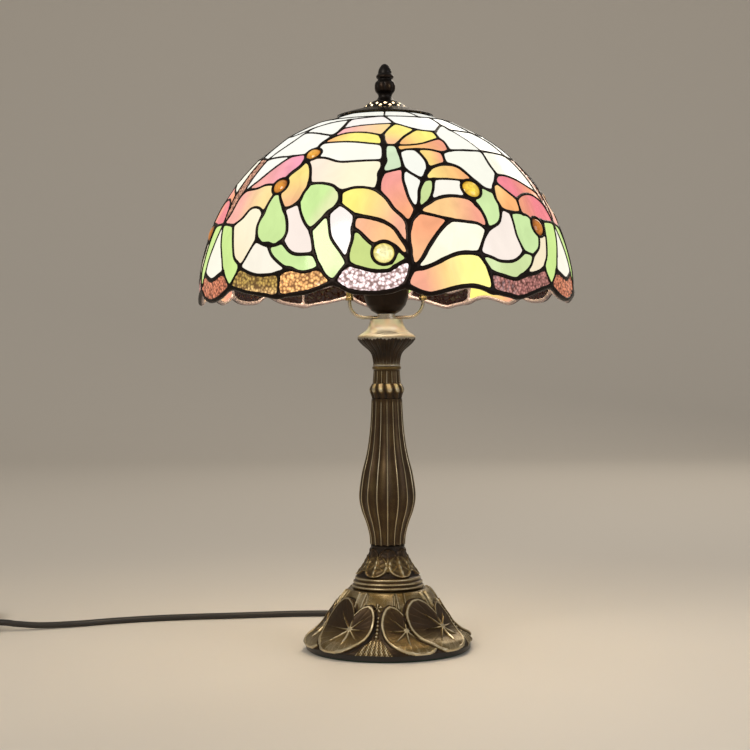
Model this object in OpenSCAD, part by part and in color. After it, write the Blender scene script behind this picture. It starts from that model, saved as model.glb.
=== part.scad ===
// Stained glass table lamp: a domed leaded shade, held by a harp and a finial on a
// cast stem with an antique bronze finish and a base of lily pads.
// Millimetres. +Z is up, and the origin is the centre of the felt on the table.
// The cord leaves the back of the base, towards +Y, and runs to -X.

/* [Shade] */
// Outer radius of the glass dome
shade_r = 150; // [148:1:154]
// Thickness of the glass
glass_t = 3; // [2:0.5:3.5]
// Height of the dome's centre, where it is widest
shade_z = 282; // [282:1:284]
// Radius of the opening at the crown
crown_r = 34; // [33:0.5:35]
// How far the lead stands proud of the glass on each face
came_proud = 0.8; // [0.4:0.2:1.2]
// Radius of the round glass jewels
jewel_r = 8; // [6:0.5:9]

/* [Stand] */
// Radius of the lead-coloured foot under the lily pads
foot_r = 66.5; // [65:0.5:68]
// Reach of the lily pads from the axis
pad_reach = 68.5; // [68:0.5:70]
// Radius of the threaded tube that clamps the stand together
tube_r = 5; // [4.5:0.1:5]
// Radius of the hole along that tube, for the lead
tube_bore_r = 3.6; // [3.4:0.1:3.8]

/* [Lampholder and bulb] */
// Radius of the bulb's screw cap, for an E27 lampholder
cap_thread_r = 13.1; // [13:0.05:13.15]
// Radius of the glass bulb
bulb_r = 30; // [27:1:30]
// Distance from the axis to each leg of the harp
harp_leg_x = 29.6; // [29:0.2:30]
// Radius of the harp's wire
harp_wire_r = 1.5; // [1.3:0.1:1.6]

/* [Cord] */
// Diameter of the cord
cord_d = 5.5; // [5:0.1:5.6]
// Radius of the innermost turn of the coil, at the cord's middle
coil_inner_r = 22; // [21:0.5:23]
// Turns in each of the coil's two layers
coil_turns = 3; // [3:1:3]

/* [In-line switch] */
// Length, width and height of the switch's body
switch_size = [60, 26, 17]; // [17:1:60]
// Angle that the rocker tilts to each side
rocker_tilt = 8; // [6:1:9]

/* [Hidden] */

$fn = 64;

// Heights in the stand, from the table up
foot_z = 1.5;
pads_z = 5.5;
base_top_z = 49;
bell_top_z = 84;
stem_top_z = 202;
collar_top_z = 214;
neck_top_z = 225;
ring_top_z = 228;
vase_top_z = 265.8;
saddle_t = 1.4;
saddle_top_z = vase_top_z + saddle_t;
nut_top_z = 270;
tube_top_z = 274;
holder_z = 283;
sleeve_z = 281;
stud_z = 437.2;
cap_seat_z = 438.7;
finial_z = 439.8;
tube_hole_r = tube_r + 0.05;

// Colours
bronze = "#4a3820";
dark_bronze = "#1c120a";
lead_metal = "#120c08";
brass = "#c9a552";
nickel = "#c8c2b4";
steel = "#9a9a96";
black = "#161412";

// A ring about Z: from inner radius ri to outer radius ro
module ring(ri, ro, z0, z1)
    translate([0, 0, z0])
        difference() {
            cylinder(r = ro, h = z1 - z0);
            translate([0, 0, -1]) cylinder(r = ri, h = z1 - z0 + 2);
        }

// A turned piece: an outline of [radius, height] points about a bore
module turned(outline, bore_r)
    rotate_extrude()
        polygon(concat(
            [[bore_r, outline[0][1]]], outline,
            [[bore_r, outline[len(outline) - 1][1]]]));

// ---- Base ------------------------------------------------------------------

cord_exit_z = 11;
boss_y = 70;
boss_r = 7.5;
gland_r = 4.5;
plate_z = foot_z + 1.5;

// Radius of the base's flared skin against its height
base_outline = [
    [66, pads_z], [65.7, 10.5], [57.5, 16.2], [51.9, 21.8], [48.2, 27.6],
    [44.2, 33.2], [40.5, 38.9], [37.7, 43.4], [33.7, 48], [30, base_top_z]
];

module felt_pad()
    color("#15301c") cylinder(r = foot_r - 2, h = foot_z);

module foot_ring()
    color(lead_metal) ring(foot_r - 6, foot_r, foot_z, pads_z);

module bottom_plate()
    color(steel) ring(tube_hole_r, foot_r - 6.1, foot_z, plate_z);

module base_weight()
    color(steel) ring(16, 40, plate_z, 20);

pad_r = 25;

module base_casting()
    color(bronze)
        difference() {
            union() {
                rotate_extrude()
                    polygon(concat([[tube_hole_r, pads_z]], base_outline,
                                   [[tube_hole_r, base_top_z]]));
                for (i = [0:7])
                    rotate([0, 0, 45 * i])
                        translate([pad_reach - pad_r, 0, pads_z])
                            cylinder(r = pad_r, h = 3);
                translate([0, 40, cord_exit_z])
                    rotate([-90, 0, 0])
                        intersection() {
                            cylinder(r = boss_r, h = boss_y - 40);
                            translate([-20, -20, 0]) cube([40, 25.5, 50]);
                        }
            }
            rotate_extrude()
                polygon([
                    [0, 0], [60, 0], [60, 10], [53, 15], [47, 21], [42, 29],
                    [37, 37], [31, 43], [26, cavity_top_z], [0, cavity_top_z]
                ]);
            translate([0, 30, cord_exit_z])
                rotate([-90, 0, 0])
                    cylinder(r = gland_r, h = 60);
        }

cavity_top_z = 45.5;
washer_t = 1.6;
nut_h = 5;
tube_foot_z = 35;

module tube_washer()
    color(nickel) ring(tube_hole_r, 11, cavity_top_z - washer_t, cavity_top_z);

module tube_nut()
    color(brass)
        difference() {
            translate([0, 0, cavity_top_z - washer_t - nut_h])
                cylinder(r = 9, h = nut_h, $fn = 6);
            cylinder(r = tube_hole_r, h = cavity_top_z);
        }

module threaded_tube()
    color(brass) ring(tube_bore_r, tube_r, tube_foot_z, tube_top_z);

// ---- Stem ------------------------------------------------------------------

module bell_casting()
    color(bronze)
        turned([
            [28.6, base_top_z], [28.6, 51], [26.8, 52.6], [28, 54.2], [26.6, 56.4],
            [24.9, 59.3], [22.7, 62.7], [19.3, 67.4], [16.2, 73], [14.3, 77.4],
            [14.3, bell_top_z]
        ], tube_hole_r);

module reeded_stem()
    color(bronze)
        turned([
            [14.4, bell_top_z], [14.9, 92.1], [17.3, 101.3], [21.3, 112.6], [22.9, 124],
            [20.7, 140.9], [17.5, 153.8], [15.3, 165.1], [13.9, 176.4], [13, 187.7],
            [12.5, 199], [12.3, stem_top_z]
        ], tube_hole_r);

module gadroon_collar()
    color(bronze)
        turned([
            [12.3, stem_top_z], [12.9, 204.7], [14.2, 208.5], [13.6, 211],
            [11.8, collar_top_z]
        ], tube_hole_r);

module fluted_neck()
    color(bronze)
        turned([[11.5, collar_top_z], [11, 218.8], [10.6, neck_top_z]], tube_hole_r);

module neck_ring()
    color(bronze)
        turned([
            [10.8, neck_top_z], [11.6, 225.7], [11.6, 227.4], [11, ring_top_z]
        ], tube_hole_r);

module vase_cup()
    color(bronze)
        turned([
            [11, ring_top_z], [11.9, 234.8], [14.3, 239.9], [17.8, 243.3], [21.7, 247.8],
            [23.5, 251.2], [22, 252.9], [18.4, 256.3], [14.5, 260.3], [12.2, vase_top_z]
        ], tube_hole_r);

// ---- Harp ------------------------------------------------------------------

saddle_bend_r = 12;
saddle_wire_z = vase_top_z + saddle_t / 2 + 0.7;

// One half of the saddle's wire: along the vase, round the corner and up
module saddle_arm()
    union() {
        translate([6.5, 0, saddle_wire_z])
            rotate([0, 90, 0])
                cylinder(r = harp_wire_r - 0.1, h = harp_leg_x - saddle_bend_r - 6.5);
        translate([harp_leg_x - saddle_bend_r, 0, saddle_wire_z + saddle_bend_r])
            rotate([90, 0, 0])
                rotate([0, 0, -90])
                    rotate_extrude(angle = 90)
                        translate([saddle_bend_r, 0]) circle(r = harp_wire_r - 0.1);
        translate([harp_leg_x, 0, saddle_wire_z + saddle_bend_r])
            cylinder(r = harp_wire_r - 0.1, h = 286 - saddle_wire_z - saddle_bend_r);
    }

module harp_saddle()
    color(nickel)
        difference() {
            union() {
                translate([0, 0, vase_top_z]) cylinder(r = 9, h = saddle_t);
                saddle_arm();
                mirror([1, 0, 0]) saddle_arm();
            }
            translate([0, 0, vase_top_z - 1]) cylinder(r = tube_hole_r, h = 5);
            translate([0, 0, saddle_top_z]) cylinder(r = 7.4, h = 3);
        }

module saddle_nut()
    color(nickel) ring(tube_hole_r, 7.2, saddle_top_z, nut_top_z);

// Points [x, z] of the right half of the bow, from its foot to its top
bow_half = [
    [harp_leg_x, 286], [harp_leg_x, 297], [harp_leg_x, 307], [30, 311], [33.5, 321],
    [40, 333], [45.5, 346], [48, 360], [47, 377], [42.5, 394], [34, 410], [23, 423], [11, 432],
    [0, 435]
];
bow_points = concat(
    [for (p = bow_half) [p[0], 0, p[1]]],
    [for (i = [len(bow_half) - 2:-1:0]) [-bow_half[i][0], 0, bow_half[i][1]]]);

module harp_bow()
    color(brass) tube(curve(bow_points, 3), harp_wire_r, 12, [0, 1, 0]);

module harp_stud()
    color(brass)
        union() {
            translate([0, 0, 436.2]) cylinder(r = 4.5, h = stud_z - 436.2);
            translate([0, 0, stud_z]) cylinder(r = 6, h = cap_seat_z - 0.1 - stud_z);
            translate([0, 0, stud_z]) cylinder(r = 3.12, h = 14);
        }

module harp_sleeve()
    color(brass)
        rotate_extrude()
            polygon([
                [harp_wire_r + 0.3, sleeve_z], [3.2, sleeve_z], [3.2, sleeve_z + 2],
                [2.7, sleeve_z + 3], [2.7, sleeve_z + 12], [harp_wire_r + 0.3, sleeve_z + 12]
            ]);

module harp_sleeve_left() translate([-harp_leg_x, 0, 0]) harp_sleeve();

module harp_sleeve_right() translate([harp_leg_x, 0, 0]) harp_sleeve();

// ---- Lampholder ------------------------------------------------------------

holder_top_z = 316;

module socket_cup()
    color(dark_bronze)
        rotate_extrude()
            polygon([
                [tube_hole_r, nut_top_z], [7.5, nut_top_z], [12, 272.5], [15.6, 277],
                [17.6, holder_z], [18.5, 289.5], [17, 289.5], [17, holder_z + 1],
                [16, 281], [14.6, 277.7], [11.4, 273.6], [tube_hole_r, 273.6]
            ]);

module socket_shell()
    color(dark_bronze)
        rotate_extrude()
            polygon([
                [16, holder_z + 1.2], [16.9, holder_z + 1.2], [16.9, holder_top_z],
                [15, holder_top_z], [15, holder_top_z - 1.2], [16, holder_top_z - 1.2]
            ]);

module socket_insulator()
    color("#e9e4d6")
        difference() {
            translate([0, 0, 284.5]) cylinder(r = 15.9, h = 27);
            translate([0, 0, 290]) cylinder(r = 14.3, h = 30);
            translate([0, 0, 280]) cylinder(r = 3, h = 12);
        }

module socket_thread()
    color(brass) ring(cap_thread_r + 0.3, 14.2, 290.1, 312);

module socket_contact()
    color(brass) translate([0, 0, 284.6]) cylinder(r = 2.9, h = 5.6);

// ---- Bulb ------------------------------------------------------------------

bulb_seat_z = 317.5;
bulb_mid_z = 364;

// Outline of a pear-shaped envelope of radius r at its widest
function pear(r) = concat(
    [[r - 17, bulb_seat_z], [r - 16, bulb_seat_z + 8], [r - 13, bulb_seat_z + 17],
     [r - 7.5, bulb_seat_z + 27]],
    [for (a = [-28:14:90]) [r * cos(a), bulb_mid_z + r * sin(a)]]);

module bulb_glass()
    color("#fff3cf")
        difference() {
            rotate_extrude()
                polygon(concat([[0, bulb_seat_z]], pear(bulb_r)));
            rotate_extrude()
                polygon(concat([[0, bulb_seat_z + 1]],
                               [for (p = pear(bulb_r))
                                   [max(p[0] - 1, 0), p[1] > bulb_mid_z + 20
                                       ? p[1] - 1 : p[1] + 0.9]]));
        }

module bulb_cap()
    color(nickel)
        difference() {
            rotate_extrude()
                polygon([
                    [0, 292.6], [7, 292.6], [cap_thread_r, 295.5], [cap_thread_r, 316],
                    [cap_thread_r - 0.6, bulb_seat_z], [0, bulb_seat_z]
                ]);
            translate([0, 0, 296]) cylinder(r = cap_thread_r - 1, h = 30);
        }

module bulb_contact()
    color(brass) translate([0, 0, 290.7]) cylinder(r = 4.5, h = 1.9);

module bulb_filament()
    color("#ffe9b0")
        union() {
            translate([0, 0, bulb_seat_z + 1]) cylinder(r = 5, h = 26);
            for (a = [0:60:300])
                rotate([0, 0, a])
                    translate([8, 0, bulb_seat_z + 34]) cylinder(r = 1.1, h = 30);
            translate([0, 0, bulb_seat_z + 26]) cylinder(r = 1.2, h = 40);
            translate([0, 0, bulb_seat_z + 32.8]) cylinder(r = 9.2, h = 1.2);
            translate([0, 0, bulb_seat_z + 64]) cylinder(r = 9.2, h = 1.2);
        }

// ---- Shade -----------------------------------------------------------------

unit_count = 3;
unit_cols = 6;
col_angle = 360 / (unit_count * unit_cols);
came_angle = 1.6;
rim_lat = -1;
first_lat = 12;
crown_lat = acos(crown_r / shade_r);
row_count = 5;
row_lats = concat([rim_lat],
    [for (i = [0:row_count - 1]) first_lat + i * (crown_lat - first_lat) / (row_count - 1)]);
ring_half = 0.6;

// Glass of each panel in one third of the dome, from the rim row up:
// w white, c cream, g green, k pink, p peach, r ripple; capitals hold a jewel
layout = [
    "rgrprg",
    "gcpKgW",
    "wPgkPw",
    "cKppkw",
    "wcwwcw"
];
upper = [["W", "w"], ["K", "k"], ["P", "p"]];
function plain(letter) = let (hit = [for (u = upper) if (u[0] == letter) u[1]])
    len(hit) > 0 ? hit[0] : letter;
function has_jewel(letter) = plain(letter) != letter;

// Section of a dome band between two latitudes, between two radii
function band(lat0, lat1, ri, ro, steps = 3) = concat(
    [for (i = [0:steps]) let (a = lat0 + (lat1 - lat0) * i / steps)
        [ro * cos(a), shade_z + ro * sin(a)]],
    [for (i = [steps:-1:0]) let (a = lat0 + (lat1 - lat0) * i / steps)
        [ri * cos(a), shade_z + ri * sin(a)]]);

module sector(start, sweep, section)
    rotate([0, 0, start]) rotate_extrude(angle = sweep) polygon(section);

// Directions of the middle of a panel: azimuth is counted from the front, -Y
function panel_azimuth(unit, col) = -90 - 60 + 120 * unit + col_angle * (col + 0.5);
function panel_lat(row) = (row_lats[row] + row_lats[row + 1]) / 2;

module at_panel(unit, col, row, r)
    rotate([0, 0, panel_azimuth(unit, col)])
        translate([0, 0, shade_z])
            rotate([0, 90 - panel_lat(row), 0])
                translate([0, 0, r])
                    children();

module panel(unit, col, row, letter)
    difference() {
        sector(panel_azimuth(unit, col) - (col_angle - came_angle) / 2,
               col_angle - came_angle,
               band(row_lats[row] + ring_half, row_lats[row + 1] - ring_half,
                    shade_r - glass_t, shade_r));
        if (has_jewel(letter))
            at_panel(unit, col, row, shade_r - 15)
                cylinder(r = jewel_r + 0.2, h = 30);
    }

module glass(kind, tint)
    color(tint)
        for (unit = [0:unit_count - 1])
            for (row = [0:row_count - 1])
                for (col = [0:unit_cols - 1])
                    if (plain(layout[row][col]) == kind)
                        panel(unit, col, row, layout[row][col]);

module glass_white() glass("w", "#fffdf2");
module glass_cream() glass("c", "#fbf3d5");
module glass_green() glass("g", "#cfe3a4");
module glass_pink() glass("k", "#efa19a");
module glass_peach() glass("p", "#f5b27e");
module glass_ripple() glass("r", "#b9a49c");

module glass_jewels()
    color("#d9a520")
        for (unit = [0:unit_count - 1])
            for (row = [0:row_count - 1])
                for (col = [0:unit_cols - 1])
                    if (has_jewel(layout[row][col]))
                        at_panel(unit, col, row, shade_r - glass_t - 1)
                            cylinder(r = jewel_r, h = glass_t + 2);

// The lead: a ring at each edge of a row, and a rib between panels
module shade_came()
    color(lead_metal)
        union() {
            for (lat = row_lats)
                sector(0, 360, band(lat - ring_half, lat + ring_half,
                    shade_r - glass_t - came_proud, shade_r + came_proud));
            for (i = [0:unit_count * unit_cols - 1])
                sector(-90 + i * col_angle - came_angle / 2, came_angle, rib_section);
        }

rib_section = band(rim_lat, crown_lat, shade_r - glass_t - came_proud,
                   shade_r + came_proud, 15);

module crown_ring()
    color(brass) ring(crown_r - 4.2, crown_r - 2.2, 424.5, 430);

cap_outline = [
    [38.6, 429.2], [36.2, 430.2], [31.2, 431.8], [25, 434], [18.4, 436.6], [14.4, 438.2],
    [11, cap_seat_z + 1]
];
vent_count = 14;

module vent_cap()
    color(dark_bronze)
        difference() {
            rotate_extrude()
                polygon(concat(
                    cap_outline, [[3.3, cap_seat_z + 1], [3.3, cap_seat_z]],
                    [for (i = [len(cap_outline) - 1:-1:0])
                        [cap_outline[i][0] - 0.3, cap_outline[i][1] - 1]]));
            for (i = [0:vent_count - 1])
                for (row = [0, 1])
                    rotate([0, 0, (i + row / 2) * 360 / vent_count])
                        translate([15.4 + 3.4 * row, 0, 430])
                            cylinder(r = 1.1, h = 20, $fn = 24);
        }

finial_insert_r = 4.2;

module finial()
    color(dark_bronze)
        difference() {
            rotate_extrude()
                polygon(concat(
                    [[0, finial_z], [10.4, finial_z], [7.4, 441.7], [5.5, 445.1], [6, 447.1]],
                    [for (a = [-45:22.5:45]) [8.7 * cos(a) - 0.1, 452.5 + 6 * sin(a)]],
                    [[5.7, 458.1], [7, 460], [7, 461.6], [5.9, 463], [4.7, 467.2],
                     [2.8, 470.2], [0, 471.2]]));
            translate([0, 0, finial_z - 1]) cylinder(r = finial_insert_r, h = 13.5);
        }

module finial_insert()
    color(brass) ring(3.2, finial_insert_r, finial_z, finial_z + 12);

// ---- Cord, switch and plug -------------------------------------------------

// A smooth curve through a list of points
function catmull(a, b, c, d, t) = 0.5 * (
    2 * b + (c - a) * t + (2 * a - 5 * b + 4 * c - d) * t * t
    + (3 * b - a - 3 * c + d) * t * t * t);
function curve(pts, steps) =
    let (n = len(pts))
    concat(
        [for (i = [0:n - 2]) for (k = [0:steps - 1])
            catmull(pts[max(i - 1, 0)], pts[i], pts[i + 1], pts[min(i + 2, n - 1)], k / steps)],
        [pts[n - 1]]);

function unit_vec(v) = v / norm(v);

// A round tube along a path; side is a direction that the path never follows
module tube(path, r, sides, side) {
    n = len(path);
    points = [for (i = [0:n - 1])
        let (
            t = unit_vec(path[min(i + 1, n - 1)] - path[max(i - 1, 0)]),
            u = unit_vec(cross(t, side)),
            v = cross(u, t)
        )
        for (k = [0:sides - 1])
            let (a = (k + 0.5) * 360 / sides)
            path[i] + r * (cos(a) * u + sin(a) * v)];
    faces = concat(
        [[for (k = [sides - 1:-1:0]) k]],
        [for (i = [0:n - 2]) for (k = [0:sides - 1])
            [i * sides + k, i * sides + (k + 1) % sides,
             (i + 1) * sides + (k + 1) % sides, (i + 1) * sides + k]],
        [[for (k = [0:sides - 1]) (n - 1) * sides + k]]);
    polyhedron(points, faces, convexity = 10);
}

cord_r = cord_d / 2;
grommet_end_y = 96;
switch_x = -366;
switch_y = 86;
coil_centre = [-390, 148];
coil_pitch = cord_d + 0.1;
coil_outer_r = coil_inner_r + coil_turns * coil_pitch;
coil_low_z = 3.3;
coil_high_z = coil_low_z + coil_pitch;

// Route of the cord where it isn't coiled
lead_route = [
    [0, 96, 11], [0, 104, 9.6], [-1, 114, 6.2], [-5, 127, 3.4], [-13, 139, 2.85],
    [-25, 149, 2.85], [-40, 154, 2.85], [-60, 155, 2.85], [-84, 154, 2.85],
    [-113, 150, 2.85], [-143, 145, 2.85], [-173, 141, 2.85], [-206, 134, 2.85],
    [-240, 122, 2.85], [-270, 108, 2.85], [-300, 96, 3.6], [-320, 89, 6],
    [-336, 86, 8]
];
link_route = [
    [-396, 86, 8], [-405, 87, 6.6], [-416, 91, 4], [-425, 101, 2.85], [-429, 114, 2.85],
    [-429, 127, 3], [-428.8, 137, 3.3]
];
tail_route = [
    [-428.8, 159, 8.9], [-429, 165, 8.2], [-429.4, 171, 6], [-429.8, 177, 3.8],
    [-430, 183, 3], [-429.6, 194, 3], [-429, 199, 3.5], [-428.6, 204, 5],
    [-428.2, 209, 6.5], [-428, 214, 7]
];

module inner_lead()
    color(black)
        tube(curve([
            [0, 62, cord_exit_z], [0, 56, cord_exit_z], [0, 49, 14], [0, 42, 21.5],
            [0, 32, 26], [0, 18, 26.5], [0, 8, 27], [0, 2, 30], [0, 0, 36], [0, 0, 48],
            [0, 0, 160], [0, 0, 272], [0, 0, 284]
        ], 1), 1.8, 8, [1, 0, 0]);

module cord_grommet()
    color(black)
        translate([0, 0, cord_exit_z])
            rotate([-90, 0, 0])
                rotate_extrude()
                    polygon([
                        [0, 62], [gland_r, 62], [gland_r, boss_y], [6.4, boss_y],
                        [6.4, boss_y + 2], [5.4, boss_y + 3.5], [3.6, grommet_end_y],
                        [0, grommet_end_y]
                    ]);

module cord_lead() color(black) tube(curve(lead_route, 2), cord_r, 8, [0, 0, 1]);

module cord_link() color(black) tube(curve(link_route, 1), cord_r, 8, [0, 0, 1]);

module cord_tail() color(black) tube(curve(tail_route, 1), cord_r, 8, [0, 0, 1]);

module cord_coil()
    color(black)
        translate([coil_centre[0], coil_centre[1], 0])
            ring(coil_inner_r - cord_r, coil_outer_r + cord_r, 0, coil_high_z + cord_r);

split_z = 8.5;
pivot_z = 13;
slot = [22.4, 11];
rocker_axle_r = 1.5;

module rounded_slab(size, r, z0, z1)
    translate([0, 0, z0])
        linear_extrude(z1 - z0)
            union() {
                square([size[0] - 2 * r, size[1]], center = true);
                square([size[0], size[1] - 2 * r], center = true);
                for (sx = [-1, 1])
                    for (sy = [-1, 1])
                        translate([sx * (size[0] / 2 - r), sy * (size[1] / 2 - r)])
                            circle(r = r);
            }

module at_switch() translate([switch_x, switch_y, 0]) children();

module switch_bottom()
    color(black)
        at_switch()
            difference() {
                rounded_slab(switch_size, 8, 0, split_z);
                translate([-slot[0] / 2, -slot[1] / 2, 4]) cube([slot[0], slot[1], 10]);
                for (sx = [-1, 1])
                    translate([22 * sx, 7 * sx, -1]) cylinder(r = 1.7, h = 12);
            }

module switch_top()
    color(black)
        at_switch()
            difference() {
                rounded_slab(switch_size, 8, split_z, switch_size[2]);
                translate([-slot[0] / 2, -slot[1] / 2, 0]) cube([slot[0], slot[1], 30]);
                translate([0, -8, pivot_z])
                    rotate([-90, 0, 0]) cylinder(r = rocker_axle_r + 0.08, h = 16);
                for (sx = [-1, 1])
                    translate([22 * sx, 7 * sx, 0]) cylinder(r = 1.4, h = 14);
            }

module switch_rocker()
    color("#2a2826")
        at_switch()
            translate([0, 0, pivot_z])
                rotate([0, rocker_tilt, 0])
                    union() {
                        translate([0, slot[1] / 2 - 0.4, 0])
                            rotate([90, 0, 0])
                                linear_extrude(slot[1] - 0.8)
                                    polygon([
                                        [-9.6, 4.2], [0, 2.9], [9.6, 4.2], [9.6, 1],
                                        [4, -4.4], [-4, -4.4], [-9.6, 1]
                                    ]);
                        translate([0, -7.8, 0])
                            rotate([-90, 0, 0]) cylinder(r = rocker_axle_r, h = 15.6);
                    }

module switch_screws()
    color(steel)
        at_switch()
            for (sx = [-1, 1])
                translate([22 * sx, 7 * sx, 0.6])
                    union() {
                        cylinder(r = 1.65, h = 2.2);
                        cylinder(r = 1.35, h = 12);
                    }

plug_mid = [-428, 214, 7];
plug_len = 36;
pin_len = 19;
pin_gap = 19;
pin_r = 2;
pin_root_r = 1.6;
pin_root_len = 12;

module plug_body()
    color(black)
        translate(plug_mid)
            difference() {
                rotate([-90, 0, 0])
                    union() {
                        cylinder(r = 4.4, h = 10);
                        translate([0, 0, 8])
                            linear_extrude(plug_len - 8)
                                union() {
                                    square([22, 13.6], center = true);
                                    translate([-11, 0]) circle(r = 6.8);
                                    translate([11, 0]) circle(r = 6.8);
                                }
                    }
                for (sx = [-1, 1])
                    translate([sx * pin_gap / 2, plug_len - pin_root_len, 0])
                        rotate([-90, 0, 0]) cylinder(r = pin_root_r, h = 20);
            }

module plug_pins()
    color(brass)
        translate(plug_mid)
            for (sx = [-1, 1])
                translate([sx * pin_gap / 2, plug_len, 0])
                    rotate([-90, 0, 0])
                        union() {
                            cylinder(r = pin_r, h = pin_len);
                            translate([0, 0, -pin_root_len])
                                cylinder(r = pin_root_r, h = pin_root_len + 1);
                        }

felt_pad();
foot_ring();
bottom_plate();
base_weight();
base_casting();
tube_washer();
tube_nut();
threaded_tube();
bell_casting();
reeded_stem();
gadroon_collar();
fluted_neck();
neck_ring();
vase_cup();
harp_saddle();
saddle_nut();
socket_cup();
socket_shell();
socket_insulator();
socket_thread();
socket_contact();
inner_lead();
harp_bow();
harp_stud();
harp_sleeve_left();
harp_sleeve_right();
bulb_glass();
bulb_cap();
bulb_contact();
bulb_filament();
glass_white();
glass_cream();
glass_green();
glass_pink();
glass_peach();
glass_ripple();
glass_jewels();
shade_came();
crown_ring();
vent_cap();
finial();
finial_insert();
cord_grommet();
cord_lead();
cord_link();
cord_coil();
cord_tail();
switch_bottom();
switch_top();
switch_rocker();
switch_screws();
plug_body();
plug_pins();
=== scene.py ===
"""A leaded glass table lamp, lit, on a cast stand with lily pads at its foot.

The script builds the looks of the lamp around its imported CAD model. Lengths are in
metres; sizes that are given in millimetres say so in their name. +Z is up, +Y is
behind the lamp, and an azimuth is counted in degrees from the front towards +X.
"""

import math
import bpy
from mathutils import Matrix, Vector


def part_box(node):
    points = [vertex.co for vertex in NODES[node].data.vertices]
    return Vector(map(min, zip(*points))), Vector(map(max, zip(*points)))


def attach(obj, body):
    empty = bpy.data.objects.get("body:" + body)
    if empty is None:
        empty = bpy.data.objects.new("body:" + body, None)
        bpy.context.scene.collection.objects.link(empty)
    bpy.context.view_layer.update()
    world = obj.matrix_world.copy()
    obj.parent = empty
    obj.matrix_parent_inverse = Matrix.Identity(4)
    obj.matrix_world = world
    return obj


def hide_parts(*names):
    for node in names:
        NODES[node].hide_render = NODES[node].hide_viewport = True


bl_info = {
    "name": "Leaded Glass Table Lamp",
    "version": (1, 0, 0),
    "blender": (4, 5, 0),
    "location": "3D Viewport > Sidebar > Table Lamp",
    "description": "Builds a leaded glass table lamp around its CAD model",
    "category": "Add Mesh",
}

import bmesh
import bpy
import numpy as np
from bpy.props import FloatProperty, FloatVectorProperty, IntProperty, PointerProperty
from bpy.types import Operator, Panel, PropertyGroup
from mathutils import Matrix, Vector, noise
from mathutils.geometry import delaunay_2d_cdt

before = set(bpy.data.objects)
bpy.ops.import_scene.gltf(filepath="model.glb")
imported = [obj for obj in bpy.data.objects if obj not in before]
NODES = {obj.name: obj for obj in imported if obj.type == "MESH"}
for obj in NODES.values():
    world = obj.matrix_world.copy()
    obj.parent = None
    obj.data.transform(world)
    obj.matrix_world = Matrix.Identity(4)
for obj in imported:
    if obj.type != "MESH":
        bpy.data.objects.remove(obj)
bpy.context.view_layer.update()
MM = 0.001


# ---- Small tools -------------------------------------------------------------

def rgb(code, alpha=1.0):
    """An sRGB hex colour as linear red, green, blue and alpha."""
    parts = [int(code[i:i + 2], 16) / 255 for i in (1, 3, 5)]
    linear = [c / 12.92 if c <= 0.04045 else ((c + 0.055) / 1.055) ** 2.4 for c in parts]
    return (*linear, alpha)


def feed(node, inputs):
    """Gives a node's inputs plain values, or links them to other nodes' outputs."""
    for key, value in inputs.items():
        if isinstance(value, bpy.types.NodeSocket):
            node.id_data.links.new(value, node.inputs[key])
        else:
            node.inputs[key].default_value = value


def add_node(tree, kind, inputs=None, stops=None, **settings):
    """Adds a node: its settings, a ramp's colour stops, and values or links for its inputs."""
    node = tree.nodes.new(kind)
    for name, value in settings.items():
        setattr(node, name, value)
    feed(node, inputs or {})
    if stops:
        ramp = node.color_ramp
        while len(ramp.elements) < len(stops):
            ramp.elements.new(1.0)
        for element, (place, colour) in zip(ramp.elements, stops):
            element.position = place
            element.color = colour if len(colour) == 4 else (*colour, 1.0)
    return node


def own_space(tree, stretch=None):
    """A piece's own coordinates, scaled by stretch along each axis if it is given."""
    where = add_node(tree, "ShaderNodeTexCoord").outputs["Object"]
    if stretch is None:
        return where
    return add_node(tree, "ShaderNodeMapping",
                    {"Vector": where, "Scale": stretch}).outputs["Vector"]


def speckle(tree, size_mm, detail, stretch=None, **inputs):
    """Noise from 0 to 1 with patches about size_mm across."""
    return add_node(tree, "ShaderNodeTexNoise", {
        "Vector": own_space(tree, stretch), "Scale": 1 / (size_mm * MM), "Detail": detail,
        **inputs}).outputs["Fac"]


def stored(tree, name, output="Fac"):
    """A number or a colour that the mesh stores for each vertex."""
    return add_node(tree, "ShaderNodeAttribute", attribute_name=name).outputs[output]


def blend(tree, factor, a, b, how="MIX"):
    """Two colours mixed by a factor."""
    return add_node(tree, "ShaderNodeMix", {"Factor": factor, "A": a, "B": b},
                    data_type="RGBA", blend_type=how).outputs["Result"]


def maths(tree, operation, *inputs):
    """What one math node makes of its inputs."""
    return add_node(tree, "ShaderNodeMath", dict(enumerate(inputs)),
                    operation=operation).outputs["Value"]


def spread(tree, value, low, high, first=0.0, last=1.0):
    """A value that runs from first to last, mapped onto low to high."""
    return add_node(tree, "ShaderNodeMapRange", {
        "Value": value, "From Min": first, "From Max": last, "To Min": low,
        "To Max": high}).outputs["Result"]


def dents(tree, height, depth_mm, strength):
    """The normal of a surface with fine relief."""
    return add_node(tree, "ShaderNodeBump", {
        "Height": height, "Distance": depth_mm * MM, "Strength": strength}).outputs["Normal"]


def recolour(material, first, codes):
    """Gives new colours to the stops of a material's ramp, from its first-th stop on."""
    ramp = next(n for n in material.node_tree.nodes if n.type == "VALTORGB").color_ramp
    for element, code in zip(ramp.elements[first:], codes):
        element.color = rgb(code)


def new_material(name, **values):
    """A material with one Principled surface, whose plain sockets take the given values."""
    material = bpy.data.materials.new(name)
    material.use_nodes = True
    surface = material.node_tree.nodes["Principled BSDF"]
    for key, value in values.items():
        surface.inputs[key.replace("_", " ").title().replace("Ior", "IOR")].default_value = value
    return material, material.node_tree, surface


def set_material(obj, material):
    """Makes a material the only one of an object."""
    obj.data.materials.clear()
    obj.data.materials.append(material)


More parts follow.
